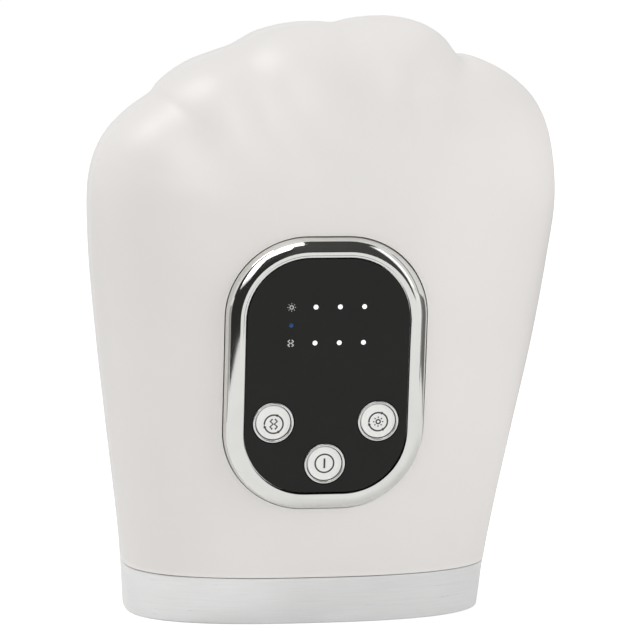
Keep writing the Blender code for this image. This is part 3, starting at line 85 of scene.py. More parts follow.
def joinAll(pieces, name):
    workOn(pieces[0])
    for other in pieces:
        other.select_set(True)
    if len(pieces) > 1:
        bpy.ops.object.join()
    return nameIt(name)


def setInPlace(piece, place):  # moves the mesh, so the object stays at the origin
    workOn(piece)
    piece.matrix_world = place
    bpy.ops.object.transform_apply(location=True, rotation=True, scale=True)
    return piece


def workOnAll(piece, work):  # runs operators on the whole mesh
    workOn(piece)
    bpy.ops.object.mode_set(mode="EDIT")
    bpy.ops.mesh.select_all(action="SELECT")
    work()
    bpy.ops.object.mode_set(mode="OBJECT")
    return piece


def workOnSome(piece, kind, test, work):  # runs operators on the faces or edges that pass the test
    workOn(piece)
    bpy.ops.object.mode_set(mode="EDIT")
    bpy.ops.mesh.select_mode(type=kind)
    bpy.ops.mesh.select_all(action="DESELECT")
    mesh = bmesh.from_edit_mesh(piece.data)
    for part in mesh.faces if kind == "FACE" else mesh.edges:
        if test(part):
            part.select_set(True)
    bmesh.update_edit_mesh(piece.data)
    work()
    bpy.ops.object.mode_set(mode="OBJECT")
    return piece


def roundRim(piece, level, width, segments=4, axis=2):  # rounds the edges that lie at a level on an axis
    def isRim(edge):
        return all(abs(vertex.co[axis] - level) < 1e-6 for vertex in edge.verts)
    return workOnSome(piece, "EDGE", isRim,
                      lambda: bpy.ops.mesh.bevel(offset=width, segments=segments, profile=0.5))


def closeSeams(piece, gap):
    def close():
        bpy.ops.mesh.remove_doubles(threshold=gap)
        bpy.ops.mesh.normals_make_consistent(inside=False)
    return workOnAll(piece, close)


def flatFaces(piece, least):  # broad level faces keep their own shading
    return workOnSome(piece, "FACE", lambda face: face.calc_area() > least, bpy.ops.mesh.faces_shade_flat)


def primitive(kind, name, **settings):  # nothing else stays selected
    bpy.ops.object.select_all(action="DESELECT")
    getattr(bpy.ops.mesh, f"primitive_{kind}_add")(**settings)
    return nameIt(name)


def formedGrid(name, across, along, place, gap=2e-6):  # a grid whose points go to place(column, row)
    piece = primitive("grid", name, x_subdivisions=across, y_subdivisions=along, size=1)
    for vertex in piece.data.vertices:
        column = round((vertex.co.x + 0.5) * across)
        row = round((vertex.co.y + 0.5) * along)
        vertex.co = place(column, row)
    return closeSeams(piece, gap)


def sweptLoop(name, rows):  # rows of points, closed round and along
    across, along = len(rows[0]), len(rows)
    return formedGrid(name, across, along, lambda column, row: rows[row % along][column % across])


def pillar(radius, low, high, sides=48, name="pillar"):  # along Z
    piece = primitive("cylinder", name, vertices=sides, radius=radius, depth=high - low,
                      location=(0, 0, (low + high) / 2))
    bpy.ops.object.transform_apply(location=True)
    return piece


def block(name, place, sizes):  # a box round its own middle
    return setInPlace(primitive("cube", name, size=1), place @ Matrix.Diagonal((*sizes, 1)))


def outlinedPlate(name, outline, low, high):  # an outline in the XY plane, extruded along Z
    piece = primitive("circle", name, vertices=len(outline), radius=1, fill_type="NGON")
    for vertex, (x, y) in zip(piece.data.vertices, outline):
        vertex.co = (x, y, low)

    def thicken():
        bpy.ops.mesh.extrude_region_move(TRANSFORM_OT_translate={"value": (0, 0, high - low)})
        bpy.ops.mesh.select_all(action="SELECT")
        bpy.ops.mesh.normals_make_consistent(inside=False)
    return workOnAll(piece, thicken)


def evenly(start, end, steps):
    return [start + (end - start) * step / steps for step in range(steps + 1)]


def arcPoints(radius, start, end, steps=24, centre=(0, 0)):
    return [(centre[0] + radius * cos(radians(angle)), centre[1] + radius * sin(radians(angle)))
            for angle in evenly(start, end, steps)]


def roundedOutline(width, height, corner, cornerSteps=20, sideSteps=6):  # anticlockwise
    points = []
    for quarter in range(4):
        across = (1, -1, -1, 1)[quarter] * (width / 2 - corner)
        up = (1, 1, -1, -1)[quarter] * (height / 2 - corner)
        points.append(arcPoints(corner, quarter * 90, quarter * 90 + 90, cornerSteps, (across, up)))
    outline = []
    for arc, nextArc in zip(points, points[1:] + points[:1]):
        start, end = Vector(arc[-1]), Vector(nextArc[0])
        outline += arc + [tuple(start.lerp(end, step / sideSteps)) for step in range(1, sideSteps)]
    return outline


def nodeMiddle(node):
    low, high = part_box(node)
    return (low + high) / 2


def at(x, y, z):
    return Matrix.Translation((x, y, z))


def standBack(piece, node, y):  # turns what stands along Z to point at +Y, and sets it at a node's middle
    middle = nodeMiddle(node)
    return setInPlace(piece, at(middle.x, y, middle.z) @ Matrix.Rotation(-pi / 2, 4, "X"))


# materials

def tone(red, green, blue):  # a screen colour as light values
    def light(value):
        value /= 255
        return value / 12.92 if value <= 0.04045 else ((value + 0.055) / 1.055) ** 2.4
    return (light(red), light(green), light(blue), 1.0)


def feed(tree, node, **sockets):  # a socket, with _ for each space in its name, takes a value or a link
    for name, value in sockets.items():
        socket = node.inputs[name.replace("_", " ")]
        if isinstance(value, bpy.types.NodeSocket):
            tree.links.new(value, socket)
        else:
            socket.default_value = value


def addNode(tree, kind, looks=(), **sockets):
    node = tree.nodes.new("ShaderNode" + kind)
    for key, value in dict(looks).items():
        setattr(node, key, value)
    feed(tree, node, **sockets)
    return node


def startMaterial(name, **settings):
    material = bpy.data.materials.new(name)
    material.use_nodes = True
    shader = material.node_tree.nodes["Principled BSDF"]
    feed(material.node_tree, shader, **settings)
    return material, material.node_tree, shader


def combined(tree, operation, first, second):
    node = addNode(tree, "Math", {"operation": operation})
    for socket, source in zip(node.inputs, (first, second)):
        tree.links.new(source, socket)
    return node.outputs["Value"]


def noise(tree, scale, detail=3.0, stretch=(1, 1, 1), roughness=0.55):
    coords = addNode(tree, "TexCoord").outputs["Object"]
    spot = addNode(tree, "Mapping", Vector=coords, Scale=stretch).outputs["Vector"]
    made = addNode(tree, "TexNoise", Vector=spot, Scale=scale, Detail=detail, Roughness=roughness)
    return made.outputs["Fac"]


def betweenTones(tree, value, dark, light, start=0.3, end=0.7):
    ramp = addNode(tree, "ValToRGB", Fac=value)
    for stop, position, colour in zip(ramp.color_ramp.elements, (start, end), (dark, light)):
        stop.position = position
        stop.color = colour
    return ramp.outputs["Color"]


def betweenValues(tree, value, low, high, start=0.3, end=0.7):
    span = addNode(tree, "MapRange", Value=value, From_Min=start, From_Max=end, To_Min=low, To_Max=high)
    return span.outputs["Result"]


def bumpFrom(tree, height, distance, strength=1.0, after=None):
    bump = addNode(tree, "Bump", Height=height, Distance=distance, Strength=strength)
    if after is not None:
        feed(tree, bump, Normal=after)
    return bump.outputs["Normal"]


def mixed(tree, share, colour, other, blend="MIX"):
    return addNode(tree, "Mix", {"data_type": "RGBA", "blend_type": blend}, Factor=share, A=colour,
                   B=other).outputs["Result"]


def wornEdges(tree, colour, worn):  # paler where the edge stands out
    point = addNode(tree, "NewGeometry").outputs["Pointiness"]
    return mixed(tree, betweenValues(tree, point, 0.0, 0.6, 0.53, 0.60), colour, worn)


def mouldedSurface(name, dark, light, rough, grain, depth, patch, worn=None, settings=()):
    material, tree, shader = startMaterial(name, **dict(settings))
    broad = noise(tree, patch, 4)
    fine = noise(tree, grain, 2)
    colour = betweenTones(tree, broad, tone(*dark), tone(*light))
    if worn:
        colour = wornEdges(tree, colour, tone(*worn))
    feed(tree, shader, Base_Color=colour, Roughness=betweenValues(tree, broad, *rough),
         Normal=bumpFrom(tree, fine, depth * mm))
    return material


# dark and pale tone, roughness, grain per metre, its depth in mm, patches per metre, worn tone, more settings
surfaces = {
    "casingPlastic": ((229, 226, 223), (233, 230, 227), (0.40, 0.47), 2400, 0.010, 14, (240, 238, 236),
                      {"Specular IOR Level": 0.42}),
    "chromePlate": ((226, 226, 223), (234, 234, 231), (0.05, 0.09), 900, 0.0012, 60, None, {"Metallic": 1.0}),
    "lensGloss": ((15, 15, 13), (20, 20, 18), (0.08, 0.12), 500, 0.0006, 45, None,
                  {"Specular IOR Level": 0.26}),
    "capPlastic": ((234, 234, 231), (240, 240, 237), (0.30, 0.38), 3000, 0.006, 90, (252, 252, 251)),
    "ringSilver": ((222, 222, 221), (234, 234, 233), (0.16, 0.26), 3000, 0.003, 120, (236, 236, 237),
                   {"Metallic": 0.9}),
    "signInk": ((44, 44, 44), (56, 56, 56), (0.45, 0.6), 5000, 0.004, 200),
    "paleInk": ((206, 206, 204), (222, 222, 220), (0.4, 0.5), 5000, 0.002, 200),
    "lampWhite": ((246, 247, 247), (250, 251, 251), (0.2, 0.3), 4000, 0.002, 200, None,
                  {"Emission Color": tone(255, 255, 255), "Emission Strength": 0.35}),
    "lampBlue": ((12, 56, 104), (17, 68, 118), (0.2, 0.3), 4000, 0.002, 200, None,
                 {"Emission Color": tone(14, 78, 150), "Emission Strength": 0.06}),
    "footRubber": ((70, 71, 73), (84, 85, 87), (0.72, 0.86), 1800, 0.03, 160, (104, 105, 107)),
    "screwSteel": ((168, 170, 174), (186, 188, 192), (0.28, 0.42), 1400, 0.006, 240, (206, 208, 212),
                   {"Metallic": 1.0}),
    "boardGreen": ((22, 84, 48), (32, 104, 60), (0.36, 0.52), 900, 0.02, 180),
    "innerBlack": ((38, 38, 39), (48, 48, 50), (0.48, 0.60), 2200, 0.014, 60, (74, 74, 76)),
    "innerWhite": ((214, 213, 210), (224, 223, 220), (0.50, 0.60), 2200, 0.012, 40, (232, 231, 229)),
    "cellWrap": ((30, 92, 160), (40, 108, 178), (0.26, 0.36), 700, 0.01, 90, (96, 140, 190)),
    "heatPadFilm": ((150, 88, 44), (172, 106, 58), (0.5, 0.65), 1300, 0.02, 70),
    "windowClear": ((226, 230, 233), (234, 238, 240), (0.08, 0.16), 700, 0.002, 60, None,
                    {"Transmission Weight": 0.7}),
    "hoseClear": ((214, 218, 220), (224, 228, 230), (0.22, 0.34), 900, 0.006, 90, None,
                  {"Transmission Weight": 0.35}),
    "contactGold": ((196, 164, 96), (214, 184, 120), (0.2, 0.32), 2600, 0.003, 300, None, {"Metallic": 1.0}),
    "hemTape": ((58, 59, 62), (72, 73, 76), (0.8, 0.92), 2600, 0.05, 120, (96, 97, 100),
                {"Sheen Weight": 0.25}),
    "bagFilm": ((176, 180, 184), (192, 196, 200), (0.34, 0.48), 1100, 0.03, 40),
}


def ringPaintMaterial():  # silver lacquer with a fine drawn grain round the mouth
    material, tree, shader = startMaterial("ringPaint", Metallic=0.5, Specular_IOR_Level=0.5)
    broad = noise(tree, 26, 4, (1, 1, 2.4))
    drawn = noise(tree, 60, 6, (1, 1, 42), 0.7)
    fleck = noise(tree, 4200, 2)
    colour = betweenTones(tree, drawn, tone(233, 233, 233), tone(239, 239, 239), 0.35, 0.65)
    patches = betweenTones(tree, broad, tone(236, 236, 235), tone(255, 255, 255))
    drag = bumpFrom(tree, drawn, 0.004 * mm, 0.6)
    patched = mixed(tree, 0.4, colour, patches, "MULTIPLY")
    feed(tree, shader, Base_Color=wornEdges(tree, patched, tone(232, 232, 232)),
         Roughness=betweenValues(tree, drawn, 0.27, 0.34),
         Normal=bumpFrom(tree, fleck, 0.005 * mm, 0.7, drag))
    return material


def clothMaterial():  # a fine rib knit that follows the cloth's own UV map
    material, tree, shader = startMaterial("linerKnit", Sheen_Weight=0.35, Sheen_Roughness=0.45,
                                           Specular_IOR_Level=0.15)
    uv = addNode(tree, "UVMap", {"uv_map": "clothUV"}).outputs["UV"]
    ribs, rows = (addNode(tree, "TexWave", {"bands_direction": way}, Vector=uv, Scale=scale, Distortion=bend,
                          Detail_Scale=fine).outputs["Fac"]
                  for way, scale, bend, fine in (("X", 170, 0.6, 90), ("Y", 110, 0.8, 1)))
    knit = combined(tree, "MULTIPLY", ribs, rows)
    fuzz = noise(tree, 1500, 4)
    weave = bumpFrom(tree, knit, 0.25 * mm)
    feed(tree, shader, Base_Color=betweenTones(tree, knit, tone(74, 75, 78), tone(112, 113, 117), 0.0, 0.9),
         Roughness=betweenValues(tree, fuzz, 0.82, 0.96), Normal=bumpFrom(tree, fuzz, 0.05 * mm, 0.6, weave))
    return material


finishes = {name: mouldedSurface(name, *row) for name, row in surfaces.items()}
finishes["linerKnit"] = clothMaterial()
finishes["ringPaint"] = ringPaintMaterial()
slotFinishes = {
    "shell_white": "casingPlastic", "chrome_trim": "chromePlate", "panel_black": "lensGloss",
    "button_white": "capPlastic", "board_green": "boardGreen", "inner_black": "innerBlack",
    "inner_white": "innerWhite", "steel": "screwSteel", "cell_wrap": "cellWrap", "rubber_grey": "footRubber",
    "bag_film": "bagFilm", "heat_pad": "heatPadFilm", "window_clear": "windowClear",
    "hose_clear": "hoseClear", "liner_cloth": "linerKnit", "silver_trim": "ringPaint",
}
for node in frame["nodes"].values():
    for place, held in enumerate(node.data.materials):
        node.data.materials[place] = finishes[slotFinishes[held.name.split(".")[0]]]
print("materials made")


def settle(piece, finish, body="housing", node=None, degrees=35):
    piece.data.materials.clear()
    piece.data.materials.append(finishes[finish])
    if degrees:
        workOn(piece)
        bpy.ops.object.shade_smooth_by_angle(angle=radians(degrees))
    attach(piece, body)
    if node:
        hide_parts(node)
    return piece


# shape of the mitt: the same form as the solids, on a finer mesh

mitt = millimetres(
    {"widestShare": 0.70, "frontRound": 2.6, "rearRound": 3.4, "rearMouthRound": 2.7, "rearValleyShare": 0.6,
     "sideRows": 64, "topColumns": 190, "rings": 44, "curveSteps": 24, "easeReach": 14},
    halfWidth=80.5, height=204, wall=2.4, gap=0.3, frontCrest=46.5, frontMouth=31.2, rearMouthRise=6.5,
    rearLevel=70, seatRise=0.6, seamSlant=0.8, seamReach=0.9, rimReach=0.7, valleyDepth=4, valleyWidth=8.2,
    ringHeight=16.4)
leftShares = [(-0.842, 0.0), (-0.8515, 0.080), (-0.865, 0.145), (-0.912, 0.305), (-0.956, 0.455),
              (-0.990, 0.60)]
lobeShares = [
    (-0.997, 0.70), (-0.989, 0.735), (-0.962, 0.774), (-0.919, 0.805), (-0.850, 0.835), (-0.780, 0.857),
    (-0.728, 0.872), (-0.700, 0.887), (-0.650, 0.904), (-0.569, 0.924), (-0.480, 0.938),
    (-0.388, 0.951), (-0.345, 0.960), (-0.285, 0.973), (-0.205, 0.983), (-0.100, 0.990), (0.0, 0.991),
    (0.060, 0.9895), (0.115, 0.995), (0.217, 1.0), (0.315, 1.0), (0.410, 0.992), (0.497, 0.971),
    (0.571, 0.938), (0.635, 0.936), (0.716, 0.924), (0.802, 0.904), (0.888, 0.872), (0.946, 0.830),
    (0.978, 0.776), (0.991, 0.70),
]
rightShares = [(0.960, 0.60), (0.902, 0.46), (0.832, 0.325), (0.760, 0.182), (0.7165, 0.080), (0.6925, 0.0)]
valleyShares = [  # the grooves between the fingers, from their notches down
    [(-0.75, 0.90), (-0.69, 0.86), (-0.41, 0.69)],
    [(-0.40, 0.98), (-0.29, 0.85), (0.02, 0.69)],
    [(0.05, 1.01), (0.19, 0.85), (0.25, 0.78)],
    [(0.60, 0.96), (0.42, 0.90), (0.40, 0.80)],
]
partingY = (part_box("front_shell")[1].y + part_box("rear_shell")[0].y) / 2
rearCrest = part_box("rear_shell")[1].y - partingY - mitt["seatRise"]
widest = mitt["height"] * mitt["widestShare"]


def scaledShares(shares):
    return [Vector((x * mitt["halfWidth"], z * mitt["height"])) for x, z in shares]


def curveThrough(points, steps):  # a smooth curve that stays near uneven points
    ends = [2 * points[0] - points[1]] + list(points) + [2 * points[-1] - points[-2]]
    samples = []
    for span in range(len(points) - 1):
        four = ends[span:span + 4]
        knots = [0.0]
        for a, b in zip(four, four[1:]):
            knots.append(knots[-1] + sqrt((b - a).length))
        for step in range(steps):
            t = knots[1] + (knots[2] - knots[1]) * step / steps
            level = list(four)
            for order in (1, 2):
                level = [(level[i] * (knots[i + order] - t) + level[i + 1] * (t - knots[i]))
                         / (knots[i + order] - knots[i]) for i in range(len(level) - 1)]
            samples.append((level[0] * (knots[2] - t) + level[1] * (t - knots[1])) / (knots[2] - knots[1]))
    samples.append(points[-1])
    return samples


outlineSamples = curveThrough(scaledShares(leftShares + lobeShares + rightShares), mitt["curveSteps"])
firstTop = len(leftShares) * mitt["curveSteps"]
lastTop = (len(leftShares) + len(lobeShares) - 1) * mitt["curveSteps"]
sideCurves = outlineSamples[:firstTop + 1], list(reversed(outlineSamples[lastTop:]))
topCurve = outlineSamples[firstTop:lastTop + 1]
hub = Vector(((topCurve[0].x + topCurve[-1].x) / 2, widest))
topRun = [0.0]
for a, b in zip(topCurve, topCurve[1:]):
    topRun.append(topRun[-1] + (b - a).length)


def sideX(z):  # where the outline's left and right sides lie at a height
    z = min(z, widest)
    places = []
    for curve in sideCurves:
        index = min(max(bisect.bisect([point.y for point in curve], z), 1), len(curve) - 1)
        a, b = curve[index - 1], curve[index]
        places.append(a.x + (b.x - a.x) * (z - a.y) / (b.y - a.y))
    return places


def spineX(z):
    return sum(sideX(z)) / 2


def topPoint(share):
    run = share * topRun[-1]
    index = min(max(bisect.bisect(topRun, run), 1), len(topRun) - 1)
    part = (run - topRun[index - 1]) / (topRun[index] - topRun[index - 1])
    return topCurve[index - 1].lerp(topCurve[index], part)


def rise(z, level):  # climbs from 0 to 1 and eases out at the level
    return sin(pi / 2 * min(1.0, z / level))


def frontCrown(z):
    return mitt["frontMouth"] + (mitt["frontCrest"] - mitt["frontMouth"]) * rise(z, widest)


def rearCrown(z):
    return rearCrest - mitt["rearMouthRise"] * (1 - rise(z, mitt["rearLevel"]))


def rearRound(z):
    return mitt["rearMouthRound"] + (mitt["rearRound"] - mitt["rearMouthRound"]) * rise(z, mitt["rearLevel"])


valleyPaths = [scaledShares(path) for path in valleyShares]


def valley(x, z):  # depth of the finger grooves at a spot; where two meet they flow together
    here = Vector((x, z))
    together = 0.0
    for knots in valleyPaths:
        deepest = 0.0
        whole = sum((b - a).length for a, b in zip(knots, knots[1:]))
        before = 0.0
        for a, b in zip(knots, knots[1:]):
            run = b - a
            along = max(0.0, min(1.0, (here - a).dot(run) / run.length_squared))
            away = (here - (a + along * run)).length
            left = 1 - (before + along * run.length) / whole
            fade = left * left * (3 - 2 * left)
            deepest = max(deepest, fade * exp(-(away / mitt["valleyWidth"]) ** 2))
            before += run.length
        together += deepest ** 4
    return mitt["valleyDepth"] * together ** 0.25


def eased(outers, first, last):  # the top outline with its notches smoothed away
    made = list(outers)
    for here in range(first, last + 1):
        span = min(mitt["easeReach"], here - first, last - here)
        near = outers[here - span:here + span + 1]
        made[here] = sum(near, Vector((0, 0))) / len(near)
    return made


def casingHalf(name, way, roundness, crown, valleyShare):  # way -1 is the front, 1 the rear
    low = mitt["ringHeight"] + mitt["gap"]
    rows, columns, rings = mitt["sideRows"], mitt["topColumns"], mitt["rings"]
    heights = evenly(low, widest, rows)[:-1]
    left, right = ([(Vector((sideX(z)[side], z)), Vector((spineX(z), z))) for z in heights]
                   for side in (0, 1))
    stations = left + [(topPoint(share), hub) for share in evenly(0, 1, columns)] + right[::-1]
    softer = eased([outer for outer, foot in stations], rows, rows + columns)

    def place(column, ring):
        outer, foot = stations[column]
        turn = pi / 2 * ring / rings
        power = 2 / roundness(foot.y)
        share = sin(turn) ** power
        outer = softer[column].lerp(outer, share ** 6)
        height = cos(turn) ** power if ring < rings else 0.0
        spot = foot + share * (outer - foot)
        groove = valleyShare * valley(spot.x, spot.y) * sqrt(height)
        depth = max(crown(spot.y) * height - groove, 0.0) + mitt["gap"] / 2
        return Vector((spot.x, partingY + way * depth, spot.y))

    shell = formedGrid(name, len(stations) - 1, rings, place, 4e-6)
    lean = sum(face.normal.y * face.area for face in shell.data.polygons)
    if lean * way < 0:
        workOnAll(shell, bpy.ops.mesh.flip_normals)
    outside = len(shell.data.vertices)
    useModifier(shell, "SOLIDIFY", thickness=mitt["wall"], offset=-1.0, use_even_offset=False)
    for vertex in shell.data.vertices:  # level rims, and a seam that slants so that no light gets through
        if vertex.co.z < low + mitt["rimReach"]:
            vertex.co.z = low
        if abs(vertex.co.y - partingY) < mitt["seamReach"]:
            slant = mitt["seamSlant"] if vertex.index >= outside else 0
            vertex.co.y = partingY + way * mitt["gap"] / 2 - slant
    return shell


# the panel's own place: local Z comes out of the panel, local Y goes up it

panel = millimetres(
    {"sideShare": 0.7, "stripStart": 10, "stripEnd": 44, "stripSteps": 6, "archStart": 40, "archEnd": 4,
     "archSteps": 14, "stripTopShare": 0.97, "broadFace": 1e-4},
    width=67.8, height=93.4, corner=27.4, band=6.1, lip=1.6, slopeDepth=4, depth=11.2, strip=0.95,
    groove=0.02, soft=0.15, skirt=4, lensRecess=0.3, lensThick=1.6, lensEdge=0.3, ledgeWidth=2.4,
    ledgeThick=1.4, gap=0.3, cutBehind=3, cutAhead=8)
pressAxis = next(Vector(joint["axis"]) for joint in frame["joints"] if joint["name"] == "left_button_press")
panelOut = -pressAxis.normalized()
panelRight = Vector((1, 0, 0))
panelUp = panelOut.cross(panelRight).normalized()
panelMiddle = nodeMiddle("panel_lens") + panelOut * (panel["lensRecess"] + panel["lensThick"] / 2)


def onPanel(x, y, depth=0.0):  # a place on the panel, measured from the middle of its front face
    origin = panelMiddle + panelRight * x + panelUp * y - panelOut * depth
    turn = Matrix((panelRight, panelUp, panelOut)).transposed().to_4x4()
    return at(*origin) @ turn


def acrossPanel(node):  # where the middle of a node lies on the panel
    away = nodeMiddle(node) - panelMiddle
    return away.dot(panelRight), away.dot(panelUp)


def panelOutline(inset):
    return roundedOutline(panel["width"] - 2 * inset, panel["height"] - 2 * inset, panel["corner"] - inset)


# casings

screwNodes = [f"case_screw_{number}" for number in range(1, 5)]
footNodes = [f"rubber_foot_{number}" for number in range(1, 5)]
overrun = 9 * mm
screwSizes = millimetres(
    {"postShare": 0.72, "turns": 12, "cross": (2.9 * mm, 0.62 * mm, 2.0 * mm), "crossTurn": 20},
    column=4.2, shank=1.5, head=2.8, headHeight=2.2, headRound=0.6, seat=9, bite=8, fit=0.3, past=1,
    through=2, wellSunk=1.2, tip=0.9, threadStart=1.2, plain=2.2, threadDepth=0.28)
footSizes = millimetres({"grooveShare": 0.55}, radius=6.5, rim=2, sunk=1, edge=0.8, seatDepth=4, seatEdge=0.3,
                        groove=0.25)
socketSizes = millimetres(
    {"contacts": 12, "contact": (0.26 * mm, 0.06 * mm, 3.0 * mm)},
    wall=0.35, bore=6, fit=0.3, hole=4, holeTop=6, past=2, sliver=0.01, edge=0.08, tongueWidth=6.6,
    tongueThick=0.7, tongueLength=4.4, tongueEdge=0.12, rooted=0.1, contactDrop=1.9)


def columnPillar(node, low, high, radius):  # along Y at a node's place, measured from the parting plane
    return standBack(pillar(radius, low, high), node, partingY)


def buildFrontCasing():
    shell = casingHalf("frontCasing", -1, lambda z: mitt["frontRound"], frontCrown, 1.0)
    shank = screwSizes["shank"] + screwSizes["fit"]
    for node in screwNodes:
        deep = frontCrown(nodeMiddle(node).z) * screwSizes["postShare"]
        carve(shell, columnPillar(node, -deep, -mitt["gap"] / 2, screwSizes["column"]), "UNION")
    deepest = -screwSizes["bite"] - screwSizes["past"]
    for node in screwNodes:
        carve(shell, columnPillar(node, deepest, screwSizes["through"], shank))
    hole = outlinedPlate("panelHole", panelOutline(-panel["gap"]), -panel["depth"] - panel["cutBehind"],
                         panel["cutAhead"])
    carve(shell, setInPlace(hole, onPanel(0, 0)))
    return settle(shell, "casingPlastic", node="front_shell")


def backDepth(shell, spot):  # how far the back lies behind the parting plane at that spot
    bpy.context.view_layer.update()
    hit, place, normal, index = shell.ray_cast(Vector((spot.x, 1, spot.z)), Vector((0, -1, 0)))
    return place.y - partingY if hit else rearCrest


def socketPlace():  # the charging socket's width, thickness and depth, and the middle of its mouth
    low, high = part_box("charge_socket")
    return *(high - low), at((low.x + high.x) / 2, (low.y + high.y) / 2, high.z)


def socketTool():
    width, thick, deep, mouth = socketPlace()
    grow = 2 * socketSizes["fit"]
    outline = roundedOutline(width + grow, thick + grow, (thick + grow) / 2 - socketSizes["sliver"], 12, 2)
    hole = outlinedPlate("socketHole", outline, -socketSizes["hole"], socketSizes["holeTop"])
    return setInPlace(hole, mouth)


def buildRearCasing():
    shell = casingHalf("rearCasing", 1, rearRound, rearCrown, mitt["rearValleyShare"])
    fit, seatTop, outermost = screwSizes["fit"], rearCrest + mitt["seatRise"], rearCrest + overrun
    for node in footNodes:
        seat = columnPillar(node, rearCrest - mitt["wall"] * 0.5 - footSizes["seatDepth"], seatTop,
                            footSizes["radius"] + footSizes["rim"])
        roundRim(seat, partingY + seatTop, footSizes["seatEdge"], 3, axis=1)
        carve(shell, seat, "UNION")
        floor = seatTop - footSizes["sunk"]
        carve(shell, columnPillar(node, floor, outermost, footSizes["radius"] + fit))
    for node in screwNodes:
        outside = backDepth(shell, nodeMiddle(node)) - screwSizes["wellSunk"]
        carve(shell, columnPillar(node, mitt["gap"] / 2, outside, screwSizes["column"]), "UNION")
        carve(shell, columnPillar(node, -screwSizes["through"], screwSizes["seat"] + screwSizes["past"],
                                  screwSizes["shank"] + fit))
        carve(shell, columnPillar(node, screwSizes["seat"], outermost, screwSizes["head"] + fit))
    carve(shell, socketTool())
    return settle(shell, "casingPlastic", node="rear_shell")


# mouth ring and clamp ring

ringSizes = millimetres(
    {"steps": 200, "heightShares": (0.3, 0.5, 0.7, 0.9)},
    wall=5, edge=0.5, topEdge=0.25, spigotRise=5.5, spigotWall=1.8, clampPlay=1.6, clampLow=2.4,
    clampHeight=7, clampWall=1.8, clampEdge=0.4)


def mouthSection(z, inset):
    left, right = sideX(z)
    return {"x": (left + right) / 2, "y": 0.0, "half": (right - left) / 2 - inset,
            "front": frontCrown(z) - inset, "rear": rearCrown(z) - inset,
            "frontRound": mitt["frontRound"], "rearRound": rearRound(z)}


def sectionPoint(section, turn, z):  # on a squared round with its own depth and fullness front and rear
    acrossPart, deepPart = cos(turn), sin(turn)
    side = "front" if deepPart < 0 else "rear"
    power = 2 / section[side + "Round"]
    x = section["x"] + section["half"] * copysign(abs(acrossPart) ** power, acrossPart)
    y = partingY + section["y"] + section[side] * copysign(abs(deepPart) ** power, deepPart)
    return Vector((x, y, z))


def sweptMouth(name, profile):  # a profile of (inset, height) pairs that runs round the mouth
    steps = ringSizes["steps"]
    rows = []
    for inset, z in profile:
        section = mouthSection(z, inset)
        rows.append([sectionPoint(section, 2 * pi * step / steps, z) for step in range(steps)])
    return sweptLoop(name, rows)


def buildMouthRing():
    edge, topEdge, wall, spigotWall = (ringSizes[key] for key in ("edge", "topEdge", "wall", "spigotWall"))
    high = mitt["ringHeight"]
    spigot, top = mitt["wall"] + mitt["gap"], high + ringSizes["spigotRise"]
    profile = arcPoints(edge, 270, 180, 5, (edge, edge))
    profile += [(0, high * share) for share in ringSizes["heightShares"]]
    profile += arcPoints(topEdge, 180, 90, 3, (topEdge, high - topEdge))
    profile += [(spigot, high), (spigot, top), (spigot + spigotWall, top), (wall, high - spigotWall)]
    profile += arcPoints(edge, 0, -90, 5, (wall - edge, edge))
    return settle(sweptMouth("mouthRing", profile), "ringPaint", node="mouth_ring")


def buildClampRing():
    soft = ringSizes["clampEdge"]
    near = ringSizes["wall"] + ringSizes["clampPlay"] + soft
    far = near + ringSizes["clampWall"] - 2 * soft
    low = ringSizes["clampLow"] + soft
    high = low + ringSizes["clampHeight"] - 2 * soft
    profile = []
    for start, centre in ((270, (near, low)), (180, (near, high)), (90, (far, high)), (0, (far, low))):
        profile += arcPoints(soft, start, start - 90, 3, centre)
    ring = sweptMouth("linerClamp", profile)
    return settle(ring, "innerBlack", node="liner_clamp_ring")


# panel frame and window

def buildPanelFrame():
    band, strip, groove, soft = (panel[key] for key in ("band", "strip", "groove", "soft"))
    ledgeFront = panel["lensRecess"] + panel["lensThick"] + panel["gap"]
    ledge, ledgeBack = band + panel["ledgeWidth"], ledgeFront + panel["ledgeThick"]
    near, far = radians(panel["archEnd"]), radians(panel["archStart"])
    arch = (band - panel["lip"] - strip) / (sin(far) - sin(near))
    drop = arch * (cos(near) - cos(far))
    profile = [(0, panel["depth"]), (0, panel["depth"] * panel["sideShare"]), (0, panel["slopeDepth"])]
    start, end = radians(panel["stripStart"]), radians(panel["stripEnd"])
    top = panel["slopeDepth"] * panel["stripTopShare"]
    for turn in evenly(start, end, panel["stripSteps"]):  # the narrow outer strip, steep all the way
        up = (sin(turn) - sin(start)) / (sin(end) - sin(start))
        inward = (cos(start) - cos(turn)) / (cos(start) - cos(end))
        profile.append((soft * 0.4 + (strip - soft * 0.4) * inward, top - (top - drop) * up))
    for turn in evenly(far, near, panel["archSteps"])[1:]:  # the broad round of the moulding
        profile.append((strip + arch * (sin(far) - sin(turn)), drop - arch * (cos(turn) - cos(far))))
    middle = band - panel["lip"] * 0.5
    profile += [(band - panel["lip"] + soft * 0.5, groove), (middle - soft, 0), (middle, groove),
                (middle + soft, 0), (band - soft, 0), (band - soft * 0.3, soft * 0.3), (band, soft),
                (band, ledgeFront), (ledge, ledgeFront), (ledge, ledgeBack), (panel["skirt"], ledgeBack),
                (panel["skirt"], panel["depth"])]
    rows = [[Vector((x, y, -depth)) for x, y in panelOutline(inset)] for inset, depth in profile]
    moulding = setInPlace(sweptLoop("panelFrame", rows), onPanel(0, 0))
    return settle(moulding, "chromePlate", node="panel_bezel", degrees=40)


